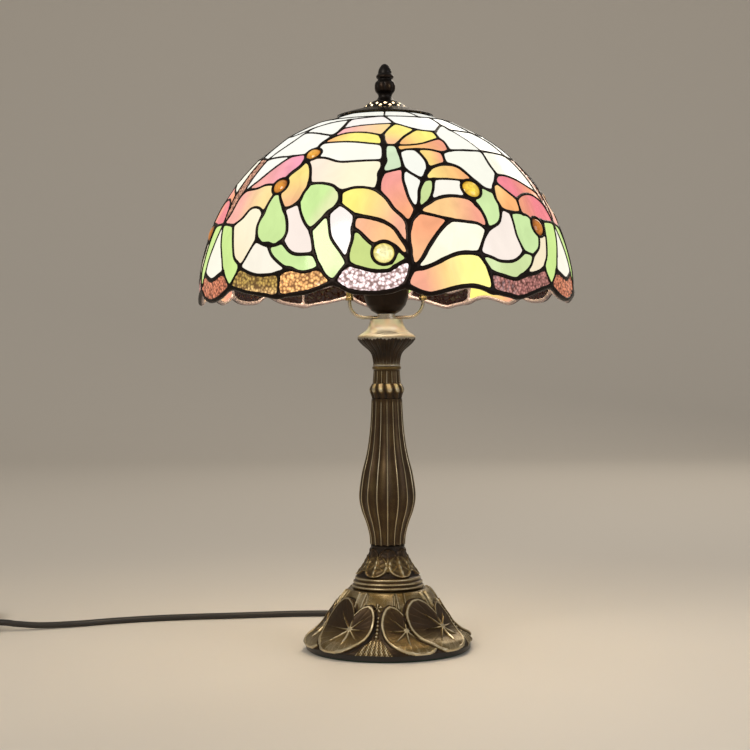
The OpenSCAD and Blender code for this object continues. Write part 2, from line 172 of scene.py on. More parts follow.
def smooth_curve(points, step):
    """Points about step apart on a Catmull-Rom curve through the given points."""
    points = [np.array(p, float) for p in points]
    made = []
    for i in range(len(points) - 1):
        before = points[i - 1] if i else 2 * points[0] - points[1]
        a, b = points[i], points[i + 1]
        after = points[i + 2] if i + 2 < len(points) else 2 * b - a
        count = max(1, math.ceil(np.linalg.norm(b - a) / step))
        for t in np.arange(count) / count:
            made.append(0.5 * (2 * a + (b - before) * t
                               + (2 * before - 5 * a + 4 * b - after) * t * t
                               + (3 * a - before - 3 * b + after) * t ** 3))
    made.append(points[-1])
    return np.array(made)


def bump(x):
    """1 at x = 0, falling smoothly to 0 where x is 1 or more either way."""
    x = np.clip(np.abs(x), 0, 1)
    return (1 - x * x) ** 2


def step_up(x, low, high):
    """0 below low, 1 above high, and a smooth step between them."""
    t = np.clip((x - low) / (high - low), 0, 1)
    return t * t * (3 - 2 * t)


def new_piece(name, verts, faces, material, body, replaces=(), slot=None, sharp=35):
    """A mesh object from points in metres, which rides on a CAD body."""
    mesh = bpy.data.meshes.new(name)
    mesh.from_pydata([tuple(v) for v in verts], [], [tuple(int(i) for i in f) for f in faces])
    mesh.validate()
    mesh.shade_smooth()
    mesh.set_sharp_from_angle(angle=math.radians(sharp))
    obj = bpy.data.objects.new(name, mesh)
    bpy.context.scene.collection.objects.link(obj)
    set_material(obj, material)
    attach(obj, body)
    if replaces:
        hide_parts(*replaces)
    return obj


def paint(obj, name, values):
    """Stores one number for each vertex, which a material reads by name."""
    layer = obj.data.attributes.new(name, "FLOAT", "POINT")
    layer.data.foreach_set("value", np.asarray(values, np.float32))


def tint(obj, colours):
    """Stores one colour for each vertex, which a material reads as tint."""
    layer = obj.data.attributes.new("tint", "FLOAT_COLOR", "POINT")
    layer.data.foreach_set("color", np.asarray(colours, np.float32).ravel())


def merge_points(obj):
    """Joins the points of an object that lie in the same place."""
    bm = bmesh.new()
    bm.from_mesh(obj.data)
    bmesh.ops.remove_doubles(bm, verts=bm.verts, dist=0.001 * MM)
    bm.to_mesh(obj.data)
    bm.free()


def grid_faces(rows, columns, wrap=True):
    """Quads of a grid whose points are numbered row by row."""
    faces = []
    for i in range(rows - 1):
        for j in range(columns if wrap else columns - 1):
            k = (j + 1) % columns
            faces.append((i * columns + j, i * columns + k,
                          (i + 1) * columns + k, (i + 1) * columns + j))
    return faces


def resample(outline, step):
    """Points about step apart along an outline of straight runs that keeps its corners."""
    outline = [np.array(p, float) for p in outline]
    made = []
    for a, b in zip(outline, outline[1:]):
        count = max(1, math.ceil(np.linalg.norm(b - a) / step))
        made += [a + (b - a) * k / count for k in range(count)]
    return np.array(made + [outline[-1]])


def revolve(name, outline_mm, material, body, columns=96, relief=None, step=0.6, cap=True,
            **options):
    """A turned piece from an outline of (radius, height) in millimetres, from its foot up.

    relief(azimuth, place, points) gives how far each point of the skin stands out, in
    millimetres, and its wear and painted light, from 0 in the recesses and where shade is
    painted to 1 where the paint is rubbed and where light is painted.
    """
    outline = resample(outline_mm, step)
    along = np.gradient(outline, axis=0)
    normal = np.stack([along[:, 1], -along[:, 0]], 1)
    normal /= np.maximum(np.linalg.norm(normal, axis=1, keepdims=True), 1e-9)
    azimuth = np.arange(columns) / columns * 2 * np.pi
    place = np.concatenate([[0], np.cumsum(np.linalg.norm(np.diff(outline, axis=0), axis=1))])
    out, wear_and_painted_light = np.zeros((len(outline), columns)), np.full((len(outline), columns), 0.5)
    if relief:
        out, wear_and_painted_light = relief(azimuth[None, :], place[:, None], outline)
    radius = outline[:, 0, None] + normal[:, 0, None] * out
    height = outline[:, 1, None] + normal[:, 1, None] * out
    radius = np.maximum(radius, 0)
    verts = np.stack([radius * np.sin(azimuth), -radius * np.cos(azimuth),
                      height * np.ones_like(radius)], -1).reshape(-1, 3) * MM
    faces = grid_faces(len(outline), columns)
    wear_and_painted_light = list(np.broadcast_to(wear_and_painted_light, radius.shape).ravel())
    if cap:
        for row in (0, len(outline) - 1):
            centre = len(verts)
            verts = np.vstack([verts, [0, 0, outline[row, 1] * MM]])
            wear_and_painted_light.append(0.3)
            ring = [row * columns + j for j in range(columns)]
            turn = 1 if row else -1
            for a, b in zip(ring, ring[1:] + ring[:1]):
                faces.append((centre, a, b)[::turn])
    obj = new_piece(name, verts, faces, material, body, **options)
    paint(obj, "wear_and_painted_light", wear_and_painted_light)
    return obj


def tube_mesh(path, half_width, half_depth, side, sides=10):
    """Points and faces of a closed tube with an oval section, wide along side x path."""
    path = np.asarray(path, float)
    along = np.gradient(path, axis=0)
    along /= np.linalg.norm(along, axis=1, keepdims=True)
    across = np.cross(along, side)
    across /= np.linalg.norm(across, axis=1, keepdims=True)
    up = np.cross(across, along)
    angle = np.arange(sides) / sides * 2 * np.pi
    wide = (np.ones(len(path)) * half_width)[:, None, None]
    deep = (np.ones(len(path)) * half_depth)[:, None, None]
    ring = (path[:, None, :] + np.cos(angle)[None, :, None] * across[:, None, :] * wide
            + np.sin(angle)[None, :, None] * up[:, None, :] * deep)
    verts = ring.reshape(-1, 3)
    faces = grid_faces(len(path), sides)
    faces.append(tuple(range(sides))[::-1])
    faces.append(tuple((len(path) - 1) * sides + j for j in range(sides)))
    return verts, faces


# ---- Settings ----------------------------------------------------------------

class CameraSettings(PropertyGroup):
    lens: FloatProperty(name="Lens", description="Focal length in millimetres", default=77.3,
                        unit="CAMERA")
    distance: FloatProperty(name="Distance", description="Distance in front of the lamp's axis",
                            default=1.3, unit="LENGTH")
    height: FloatProperty(name="Height", description="Height above the table", default=0.241,
                          unit="LENGTH")
    side: FloatProperty(name="Side step", description="Place to the right of the lamp's axis",
                        default=-0.0093, unit="LENGTH")
    roll: FloatProperty(name="Roll", description="Turn to the right about the line of sight",
                        subtype="ANGLE", default=math.radians(0.35), unit="ROTATION")
    tilt: FloatProperty(name="Tilt", description="Angle down from the level", subtype="ANGLE",
                        default=math.radians(0.89), unit="ROTATION")


class CordSettings(PropertyGroup):
    diameter: FloatProperty(name="Diameter", description="Diameter of the sheath",
                            default=0.0055, unit="LENGTH")
    sheath: FloatVectorProperty(name="Sheath", description="Colour of the PVC sheath", size=4,
                                subtype="COLOR", default=rgb("#15120F"))


class ShadeSettings(PropertyGroup):
    middle: FloatProperty(name="Middle radius", description="Radius at the middle of the glass",
                          default=0.1485, unit="LENGTH")
    glass: FloatProperty(name="Glass", description="Thickness of the glass", default=0.003,
                         unit="LENGTH")
    came: FloatProperty(name="Lead", description="Half the width of a lead line",
                        default=0.0017, unit="LENGTH")
    bead: FloatProperty(name="Bead", description="Half the depth of a lead line",
                        default=0.0024, unit="LENGTH")
    jewel: FloatProperty(name="Jewel", description="Radius of a glass jewel", default=0.0078,
                         unit="LENGTH")
    glow: FloatProperty(name="Glow", description="Strength of the light through the glass",
                        default=1.0, min=0)


class StandSettings(PropertyGroup):
    reeds: IntProperty(name="Flutes", description="Flutes round the stem", default=16, min=6)
    recess: FloatVectorProperty(name="Recess", description="Paint in the recesses", size=4,
                                subtype="COLOR", default=rgb("#0F0703"))
    paint: FloatVectorProperty(name="Paint", description="Antique bronze paint", size=4,
                               subtype="COLOR", default=rgb("#3A2913"))
    # The rubbed colour also shows where light is painted on the castings
    rubbed: FloatVectorProperty(name="Rubbed", description="Paint rubbed back on high spots",
                                size=4, subtype="COLOR", default=rgb("#C2B596"))


class BulbSettings(PropertyGroup):
    warmth: FloatVectorProperty(name="Warmth", description="Colour of the bulb's light", size=4,
                                subtype="COLOR", default=rgb("#FFE8C4"))
    power: FloatProperty(name="Power", description="Power of the bulb's light", default=2.2,
                         unit="POWER")


class StageSettings(PropertyGroup):
    floor: FloatVectorProperty(name="Floor", description="Colour of the floor", size=4,
                               subtype="COLOR", default=rgb("#D9D3C9"))
    ambient: FloatProperty(name="Ambient", description="Strength of the even light all round",
                           default=0.42, min=0)


SETTINGS = {
    "lamp_camera": CameraSettings, "lamp_cord": CordSettings, "lamp_shade": ShadeSettings,
    "lamp_stand": StandSettings, "lamp_bulb": BulbSettings, "lamp_stage": StageSettings,
}


# ---- Cord --------------------------------------------------------------------

# Routes of the cord where it isn't coiled, in millimetres
LEAD_ROUTE = [
    (0, 96, 11), (0, 104, 9.6), (-1, 114, 6.2), (-5, 127, 3.4), (-13, 139, 2.85),
    (-25, 149, 2.85), (-40, 154, 2.85), (-60, 155, 2.85), (-84, 154, 2.85),
    (-113, 150, 2.85), (-143, 145, 2.85), (-173, 141, 2.85), (-206, 134, 2.85),
    (-240, 122, 2.85), (-270, 108, 2.85), (-300, 96, 3.6), (-320, 89, 6), (-336, 86, 8),
]
LINK_ROUTE = [
    (-396, 86, 8), (-405, 87, 6.6), (-416, 91, 4), (-425, 101, 2.85), (-429, 114, 2.85),
    (-429, 127, 3), (-428.8, 137, 3.3),
]
TAIL_ROUTE = [
    (-428.8, 159, 8.9), (-429, 165, 8.2), (-429.4, 171, 6), (-429.8, 177, 3.8),
    (-430, 183, 3), (-429.6, 194, 3), (-429, 199, 3.5), (-428.6, 204, 5),
    (-428.2, 209, 6.5), (-428, 214, 7),
]
COIL_TURNS = 3
COIL_PITCH = 5.6
COIL_INNER = 22
COIL_LOW = 3.3


def coil_route():
    """The coil's turns: inwards on the table, and outwards again on top of them."""
    low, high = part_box("cord_coil")
    centre = (low + high) / 2 / MM
    per_turn = 40
    count = COIL_TURNS * per_turn
    route = []
    for i in range(1, 2 * count):
        inward = abs(count - i) / count
        radius = COIL_INNER + COIL_TURNS * COIL_PITCH * inward
        angle = math.pi - 2 * math.pi * i / per_turn
        rise = step_up(i, count - 0.35 * per_turn, count + 0.15 * per_turn)
        route.append((centre.x + radius * math.cos(angle), centre.y + radius * math.sin(angle),
                      COIL_LOW + COIL_PITCH * float(rise)))
    return route


def pvc_sheath(settings):
    """PVC, extruded over the wires: black, with a soft sheen and a faint grain."""
    material, tree, surface = new_material("extruded_pvc_sheath", roughness=0.42, ior=1.53)
    grain = speckle(tree, 1.1, 3.0)
    feed(surface, {"Base Color": blend(tree, grain, settings.sheath[:], rgb("#241F1A")),
                   "Normal": dents(tree, grain, 0.1, 0.25)})
    return material


class LAMP_OT_camera(Operator):
    """Places the camera in front of the lamp"""
    bl_idname = "lamp.camera"
    bl_label = "Camera"

    def execute(self, context):
        settings = context.scene.lamp_camera
        data = bpy.data.cameras.new("camera")
        data.lens = settings.lens
        data.sensor_width = 36.0
        data.clip_start = 0.01
        camera = bpy.data.objects.new("camera", data)
        camera.location = (settings.side, -settings.distance, settings.height)
        camera.rotation_euler = (math.pi / 2 - settings.tilt, settings.roll, 0)
        context.scene.collection.objects.link(camera)
        context.scene.camera = camera
        return {"FINISHED"}


class LAMP_OT_cord(Operator):
    """Lays the cord from the base through the switch and the coil to the plug"""
    bl_idname = "lamp.cord"
    bl_label = "Cord"

    def execute(self, context):
        settings = context.scene.lamp_cord
        outer = LINK_ROUTE[:-1] + coil_route()[1:-1] + TAIL_ROUTE[1:]
        route = smooth_curve(LEAD_ROUTE + outer, 2.5) * MM
        data = bpy.data.curves.new("cord", "CURVE")
        data.dimensions = "3D"
        data.bevel_depth = settings.diameter / 2
        data.bevel_resolution = 5
        data.use_fill_caps = True
        line = data.splines.new("POLY")
        line.points.add(len(route) - 1)
        for point, place in zip(line.points, route):
            point.co = (*place, 1)
        cord = bpy.data.objects.new("cord", data)
        context.scene.collection.objects.link(cord)
        data.materials.append(pvc_sheath(settings))
        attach(cord, "root")
        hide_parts("cord_lead", "cord_link", "cord_coil", "cord_tail")
        return {"FINISHED"}


# ---- Leaded glass ------------------------------------------------------------

# The flower pattern repeats three times round the dome: once wide, in front, and twice
# a little narrower. Its points are (azimuth, latitude) in degrees on the dome.
UNIT_STARTS = (-64, 68, 182)
UNIT_WIDTHS = (132, 114, 114)
DOME_Z = 0.282
CROWN_LATITUDE = 76.6
BAND_LATITUDE = 68
MESH_STEP = 1.25  # between a pane's points, in degrees
PANE_FLATNESS = 0.85  # 0 for a pane that follows the dome, 1 for a flat one
PANE_LAP = 0.00025  # how far a pane's edge is drawn in from the lead line's middle
LEAD_VOXEL = 0.00085
RIPPLE_MM = 2.6
RIPPLE_DEPTH_MM = 0.45

# Places where lead lines meet, by name
JOINTS = {
    "R1": (-76, 2.5), "R2": (-52, 2.5), "R3": (-32, -0.5), "R4": (-15, 3), "R5": (5, 2),
    "R6": (31, 0.5), "R7": (56, 2.5),
    "MTL": (-73, 22), "MTC": (-64, 22), "MTR": (-56, 21), "WL": (-72, 7), "WR": (-56, 7),
    "NTL": (59, 22), "NTC": (68, 22), "NE": (53, 7.5),
    "Q1": (-48, 8), "J1": (-42, 16), "J2": (-42, 24), "J3": (-59, 32), "J5": (-33, 43),
    "J6": (-59, 45), "L1": (-39, 33), "L2": (-31, 45), "T1": (-42, 45),
    "N0": (-37, 14.3), "N1": (-32, 15), "P": (-34, 25), "N2": (-27, 33), "N3": (-29, 27),
    "N4": (-23, 18), "N5": (-15, 30), "N6": (-21, 11), "N7": (-19, 7), "N8": (-18, 23),
    "N9": (-15, 26), "N10": (-9.5, 22), "N11": (-11, 8), "N12": (-32, 6), "N13": (-28, 7),
    "W1": (-10, 18), "C1": (-3, 30), "C2": (-2, 36), "C3": (-1, 41), "C4": (-1, 48),
    "C5": (-2, 53), "C6": (5, 61), "K0": (-1, 68), "Y1": (-30, 50), "Y2": (-25, 58),
    "Y3": (-26, 65.5), "Y4": (-27, 54), "A2": (-51, 58), "AK": (-50.5, 61),
    "B0": (63.5, 46.5), "B1": (63, 53), "B2": (57, 58), "BP": (-75, 58),
    "D1": (16, 57), "D2": (4, 47.8), "D3": (25.5, 56), "D4": (25.5, 52), "D5": (36, 61),
    "D6": (27, 46), "D8": (5, 44.8), "D9": (12, 46), "D10": (23, 45), "D11": (22.5, 40),
    "G1": (6, 38), "G2": (15, 37.5), "G3": (12.3, 33.5), "G5": (45, 47), "G6": (32.5, 33),
    "G7": (38, 30.5), "G8": (38, 58), "G9": (44, 37), "G11": (41, 34), "G12": (48, 28.5),
    "G14": (47.5, 24), "G16": (42, 24), "G17": (44, 12), "G18": (48, 11), "G19": (31, 18),
    "G20": (38.3, 25), "G21": (16, 34), "G22": (13, 26), "G25": (19, 20.8),
    "G26": (27, 11), "G27": (30, 6), "G28": (42, 5), "H0": (9, 23), "H1": (6.3, 18.5),
    "H2": (6.2, 11.5), "H3": (6.3, 9), "H4": (6.6, 6.3), "V1": (29, 31), "V2": (54, 20),
    "F": (-1, 11), "S32": (66, 32), "S27": (67.2, 27),
}

# Lead lines: a relative width, then the joints and plain points that each passes
LINES = [
    # Scalloped rim
    (1.15, "R1", (-70, 0), (-64, -1), (-58, 0), "R2"),
    (1.15, "R2", (-44, 1), (-37, 0), "R3", (-23, 0.5), "R4"),
    (1.25, "R4", (-10, 0.5), (-4, 0), (1, 0.5), "R5"),
    (1.25, "R5", (10, 0), (14, 0), (24, 2), "R6", (37, -0.5), (41, -1), (47, 0.5), "R7"),
    # Bud under each seam
    (1, "MTL", "MTC", "MTR"),
    (1, "MTL", (-75, 16), (-77, 11), (-79, 7.5), "R1"),
    (1.1, "MTR", (-53, 15), (-51, 11), "Q1", "R2"),
    (0.9, "MTC", (-67, 16), (-70, 11), "WL", "R1"),
    (0.9, "MTC", (-61, 16), (-58, 11), "WR", "R2"),
    (1.5, "WL", (-64, 5), "WR"),
    # Ripple strip that climbs the seam, and the narrow pane over it
    (0.9, "MTC", (-65, 27), (-66, 32), (-66, 38), (-67, 44), (-68.5, 46.5)),
    (0.9, "J3", (-59, 38), "J6"),
    (0.9, (-68.5, 46.5), "J6"),
    (0.9, (-68.5, 46.5), (-69, 53), "BP", (-78, 63), (-80, 68)),
    (0.8, "J6", (-53, 52), "A2", "AK"),
    (0.8, "BP", (-64, 57.5), (-57, 58.5), "AK", (-40, 64), "Y3", (-12, 67), "K0"),
    # Flower and leaves on the left
    (1, "MTR", (-52, 23), (-49, 26), (-45, 26), "J2"),
    (1, "MTC", (-61, 25), "J3", (-51, 33), (-46, 34), "L1"),
    (1.1, "L1", (-41, 28), "J2", (-43, 20), "J1"),
    (1, "Q1", (-46, 10), (-44, 13), "J1"),
    (1.3, "J1", (-39.5, 14.7), "N0", (-34.5, 14), "N1"),
    (1.1, "L1", (-37, 29), "P", (-32, 22), (-31, 19), (-31, 17), "N1"),
    (1, "J3", (-53, 36), (-49, 39.5), (-45.5, 42.5), "T1"),
    (0.9, "J6", (-50, 45.3), "T1", "L2"),
    (1.5, "L1", (-37, 37), (-34, 40), "J5"),
    (1, "L2", "J5"),
    (1.1, "J5", (-29, 39), "N2", (-28, 30), "N3", (-31.5, 25.5), "P"),
    (1, "N3", (-27, 23), (-25, 20), "N4"),
    (1.1, "N4", (-22, 15), "N6", "N7", (-17, 4.5), "R4"),
    (1.2, "N1", (-29, 12), (-26, 11), "N6"),
    (1.1, "N0", (-35, 11), (-31, 8), "N13", (-24, 6), "N7"),
    (1.1, "Q1", (-42, 6), (-37, 5.5), "N12", "N13"),
    (1.1, "N12", "R3"),
    (1.1, "N2", (-22, 33), (-18, 32), "N5", (-11, 31), (-7, 31), "C1"),
    (1.3, "N5", "N9", "N8", (-19.5, 21.5), (-21.5, 19.3), "N4"),
    (1, "N8", (-17, 18), (-16, 15), (-13, 11), "N11"),
    (1.2, "N11", (-13, 6), "R4"),
    (1, "N9", (-12, 24), "N10"),
    (1.1, "N10", "W1", (-10, 15), (-11, 11), "N11"),
    (1.2, "C1", (0, 27), (2, 24), (5, 21), "H1"),
    (1.3, "N10", (-4, 21), (-1, 20), (2, 18), (4, 15), "H2"),
    (1.2, "W1", (-8, 17), (-6, 15), (-4, 13.5), (-1, 14), (2, 13), (4, 11), "H3"),
    (1.2, "N11", (-8, 7), (-4, 6), (0, 6), (2, 7), (4, 8.3), "H3"),
    # Stem up the middle
    (1.5, "H0", "H1", "H2", "H3", "H4", "R5"),
    (1.5, "C1", "C2", "C3", "C4", "C5"),
    (1, "C5", (1, 57), "C6"),
    (0.9, "K0", (2, 65), "C6"),
    # Upper left
    (1, "J5", (-25, 43), (-18, 41), (-11, 41), "C3"),
    (1.2, "L2", "Y1", "Y4", "Y2", "Y3"),
    (0.9, "Y1", (-26, 53), (-20, 55), (-11, 55), "C5"),
    (0.9, "Y1", (-24, 50.2), (-16, 50), (-8, 49), "C4"),
    (0.8, "Y2", (-17, 59.5), (-5, 60.5), "C6"),
    (0.9, "A2", (-34, 55.5), "Y4"),
    # Upper right
    (0.9, "C6", "D1", "D3", (28, 57), "D5", "G8"),
    (0.8, "D5", (37, 65), (37.5, 68)),
    (1, "D1", (12, 54.7), (8, 52), "D2"),
    (1, "D2", "C4"),
    (1, "D3", "D4"),
    (0.9, "D4", (22, 51), (16, 49), (10, 48), "D2"),
    (1, "D4", (27, 50), "D6"),
    (1, "D2", "D8", "G1"),
    (1, "D8", (8, 45.8), "D9", (18, 46), "D10", "D6", (36, 46.7), "G5", (54, 47), "B0"),
    (1, "C2", (2, 37), "G1"),
    (1.1, "D9", (14, 43), (15, 40.5), "G2"),
    (1.1, "G1", (8.5, 36), "G3"),
    (1, "D10", "D11"),
    (1.3, "G3", "G2", (18, 39), "D11", (27, 39), (30, 36), "G6", (35, 31.3), "G7"),
    (1, "G1", (5.5, 34), (6, 31), (7, 27), "H0"),
    (1.1, "G3", (10.5, 30), (10, 27), "H0"),
    (0.6, "G8", "G5"),
    (0.9, "G8", (47, 58), "B2"),
    (0.9, "B2", "B1", "B0"),
    (1, "G5", (43.5, 41), "G9"),
    (1.1, "G9", (42.3, 35.7), "G11", (39, 32.5), "G7"),
    (1, "G11", (44, 31.5), "G12"),
    (1, "G9", (49, 37), (54, 36), (60, 34), "S32"),
    (1, "G12", (53, 30.5), (59, 31), (64, 29.5), "S27"),
    (1, "G12", "G14", (50, 23.3), "V2"),
    (1, "V2", (57, 22.5), "NTL"),
    # Flower on the right
    (0.9, "G3", "G21", (25, 34), (27.5, 33.7), "V1"),
    (1, "V1", "G6"),
    (1, "G21", (15, 30), "G22"),
    (1.2, "H0", "G22", (18, 28), (23, 28.3), (27.5, 27.3), (30, 24.5), (31.2, 21), "G19"),
    (1, "V1", (28.8, 27), (28.9, 25.6)),
    (1.1, "H0", (14, 22), "G25", (24, 20.3), (28, 19.8), "G19"),
    (1.1, "G7", (37.7, 28), "G20", (36, 20.5), "G19"),
    (1, "G20", "G16", "G14"),
    (1, "G16", (42, 21), (42, 17), (43, 14), "G17"),
    (1, "V2", (53, 17), (51.5, 13.5), "G18"),
    (1, "G17", "G18"),
    (1.2, "G19", (29, 15), "G26"),
    (1.3, "H4", (9.5, 9), (12, 13), (15.5, 17.5), "G25"),
    (1.3, "H4", (10, 6.7), (13.5, 8), (17, 9.7), (21, 11), "G26"),
    (1.2, "G26", (29, 8), "G27", "R6"),
    (1.3, "G27", (34, 5), (39, 4), "G28", (48, 6), "NE"),
    (1.1, "G26", (31, 10), (34, 9), (38, 9), (41, 10), "G17"),
    (1, "G18", (46, 8), "G28"),
    # Plain band under the crown
    (0.7, (-45, 68), (-45, 76.6)),
    (0.7, "K0", (-1, 76.6)),
    (0.7, (27, 68), (27, 76.6)),
]

# Jewels: joint, relative size, then the amber's colour where light is painted in its middle
# and where shade is painted at its edge
JEWELS = [
    ("L1", 0.82, "#E89A2E", "#7A2E08"), ("L2", 0.75, "#F0B040", "#A8560E"),
    ("F", 1.0, "#FFFBC4", "#D2B816"), ("V1", 0.95, "#FFDC50", "#C08812"),
    ("V2", 0.92, "#D88020", "#4A1C08"),
]

# Panes: kind of glass, a point inside it and the tint there, then where it takes
# another tint, if it does
PANES = [
    ("green", (-75, 12), "#CDEB90"), ("green", (-55, 12), "#CDEB92"),
    ("white", (-64, 12), "#FFFBEA"), ("ripple", (-64, 2.5), "#B4785A"),
    ("ripple", (-63, 36), "#B08A72"), ("white", (-61, 53), "#FFFFF6"),
    ("white", (-53, 42), "#FFFDF4"), ("white", (-60, 63), "#FFFFF6"),
    ("pink", (-56, 27), "#F3AFA2", (-46, 29), "#F7DC9A"),
    ("pink", (-53, 34), "#F2AC9C", (-37, 42), "#F09CB4"),
    ("peach", (-36, 36), "#F8E084", (-34, 27), "#F3B98A"),
    ("cream", (-47, 20), "#FBF1D3", (-50, 11), "#F9E6C4"), ("green", (-38, 20), "#CBE89C"),
    ("white", (-42, 9), "#FDF6E6"), ("white", (-28, 17), "#FBEDE4"),
    ("green", (-30, 10.5), "#CDEBA0"), ("ripple", (-41, 3), "#9C8A48", (-41, 0), "#D8BC88"),
    ("ripple", (-25, 3.5), "#D9B074"),
    ("green", (-22, 27), "#CBEB9C", (-19, 25), "#E6EDB4"),
    ("green", (-20, 15), "#D6ECA4"), ("white", (-14, 18), "#FCF3EE"),
    ("green", (-7, 11), "#CBDD88"),
    ("cream", (-14, 37), "#FBF3D2", (-26, 38), "#FBE8D6"),
    ("white", (-14, 46), "#FFFEF2"), ("white", (-40, 51), "#FFFFF6"),
    ("white", (-37, 60), "#FFFFF6"), ("white", (-13, 63), "#FFF8F4"),
    ("peach", (-16, 53), "#FCF07C", (-28, 51), "#F4A872"),
    ("peach", (-22, 57), "#F2AEB0", (-2, 58), "#F8D894"),
    ("peach", (-9, 27), "#FCEE80", (3, 22), "#F3B294"),
    ("peach", (0, 17), "#F6C288", (-7, 18), "#F3B48E"),
    ("ripple", (-3, 3.5), "#E6DADC"), ("peach", (5, 55), "#FBEC80", (2, 50), "#F4BE92"),
    ("peach", (18, 54), "#FAEE7A", (7, 50), "#F4B878"),
    ("peach", (12, 47.3), "#F6BE72", (25, 49), "#EE9C80"),
    ("peach", (17, 43), "#F8D880", (22, 43), "#EE9A80"),
    ("green", (2, 42), "#D2E6C2"), ("white", (9, 41), "#FBFCF2"),
    ("white", (8, 31), "#FAFAF0"), ("pink", (2, 33), "#EE9C92", (6, 24), "#F4A87C"),
    ("white", (32, 52), "#FFFFF4"), ("white", (50, 53), "#FFFFF2"),
    ("white", (33, 42), "#FCFCEE"), ("cream", (54, 42), "#FBF8E4"),
    ("pink", (50, 34), "#E8808C", (60, 33), "#F2A078"),
    ("pink", (58, 27), "#EA7F88", (50, 29), "#F0A07C"),
    ("peach", (43, 28), "#F6B070", (40, 31), "#F7C880"),
    ("green", (12, 30), "#CBE09A"), ("white", (20, 31), "#FCF8EC"),
    ("peach", (17, 35.7), "#F8DC84", (29, 35.5), "#F2A872"),
    ("peach", (20, 25), "#F6C88A", (28, 24), "#EEA088"),
    ("green", (35, 27), "#CDE8A6"), ("cream", (20, 15), "#FBF7DE"),
    ("peach", (9.5, 18), "#F2A67C", (9, 12), "#F3B888"),
    ("peach", (22, 6.5), "#FCF184", (11, 2.5), "#F3A98E"),
    ("ripple", (38, 2), "#9A7068"), ("green", (37, 7), "#CDE0A0"),
    ("white", (37, 14), "#FBEEE4"), ("green", (47, 18), "#CBE8A4"),
    ("cream", (50, 9), "#F8E9C8"), ("white", (8, 65), "#FFFFF8"),
    ("white", (45, 63), "#FFFFF6"), ("white", (-62, 72), "#FFFFF6"), ("white", (-22, 72), "#FFFFF6"),
    ("white", (13, 72), "#FFFFF6"),
]


def unit_azimuth(azimuth, unit):
    """Where an azimuth of the pattern falls when it is repeated."""
    offset = azimuth - UNIT_STARTS[0]
    width = UNIT_WIDTHS[unit if offset >= 0 else unit - 1]
    return UNIT_STARTS[unit] + offset * width / UNIT_WIDTHS[0]


def flat(place, unit):
    """A point of the pattern on the flattened dome: the crown's middle is its centre."""
    angle = math.radians(unit_azimuth(place[0], unit))
    reach = 90 - place[1]
    return (reach * math.sin(angle), -reach * math.cos(angle))


def on_dome(points, radius):
    """Points of the flattened dome, in space."""
    points = np.asarray(points, float)
    reach = np.linalg.norm(points, axis=1)
    tilt = np.radians(reach)
    level = np.sin(tilt) / np.maximum(reach, 1e-9)
    return np.column_stack([points[:, 0] * level, points[:, 1] * level, np.cos(tilt)]) \
        * radius + (0, 0, DOME_Z)


def dome_frame(place):
    """At a place on the dome: the ways straight out, level round it and up along it."""
    out = place - (0, 0, DOME_Z)
    out /= np.linalg.norm(out)
    level = np.cross((0, 0, 1), out)
    level /= np.linalg.norm(level)
    return out, level, np.cross(out, level)


def lead_lines():
    """Every lead line on the flattened dome, with its relative width and its joints."""
    lines, joints = [], []
    for unit in range(3):
        for width, *places in LINES:
            spots = [flat(JOINTS[p] if isinstance(p, str) else p, unit) for p in places]
            ends = (np.array(spots[0]), np.array(spots[-1]))
            lines.append((width, smooth_curve(spots, 0.8)))
            joints += [(width, end) for end in ends]
    for latitude, width in ((BAND_LATITUDE, 0.7), (CROWN_LATITUDE, 1.0)):
        turn = np.radians(np.arange(0, 361, 1.5 if latitude > 70 else 1))
        lines.append((width, (90 - latitude) * np.column_stack([np.sin(turn), np.cos(turn)])))
    return lines, joints


def jewel_places():
    """Every jewel's centre on the flattened dome, its relative size and its two colours."""
    return [(flat(JOINTS[joint], unit), *rest)
            for unit in range(3) for joint, *rest in JEWELS]


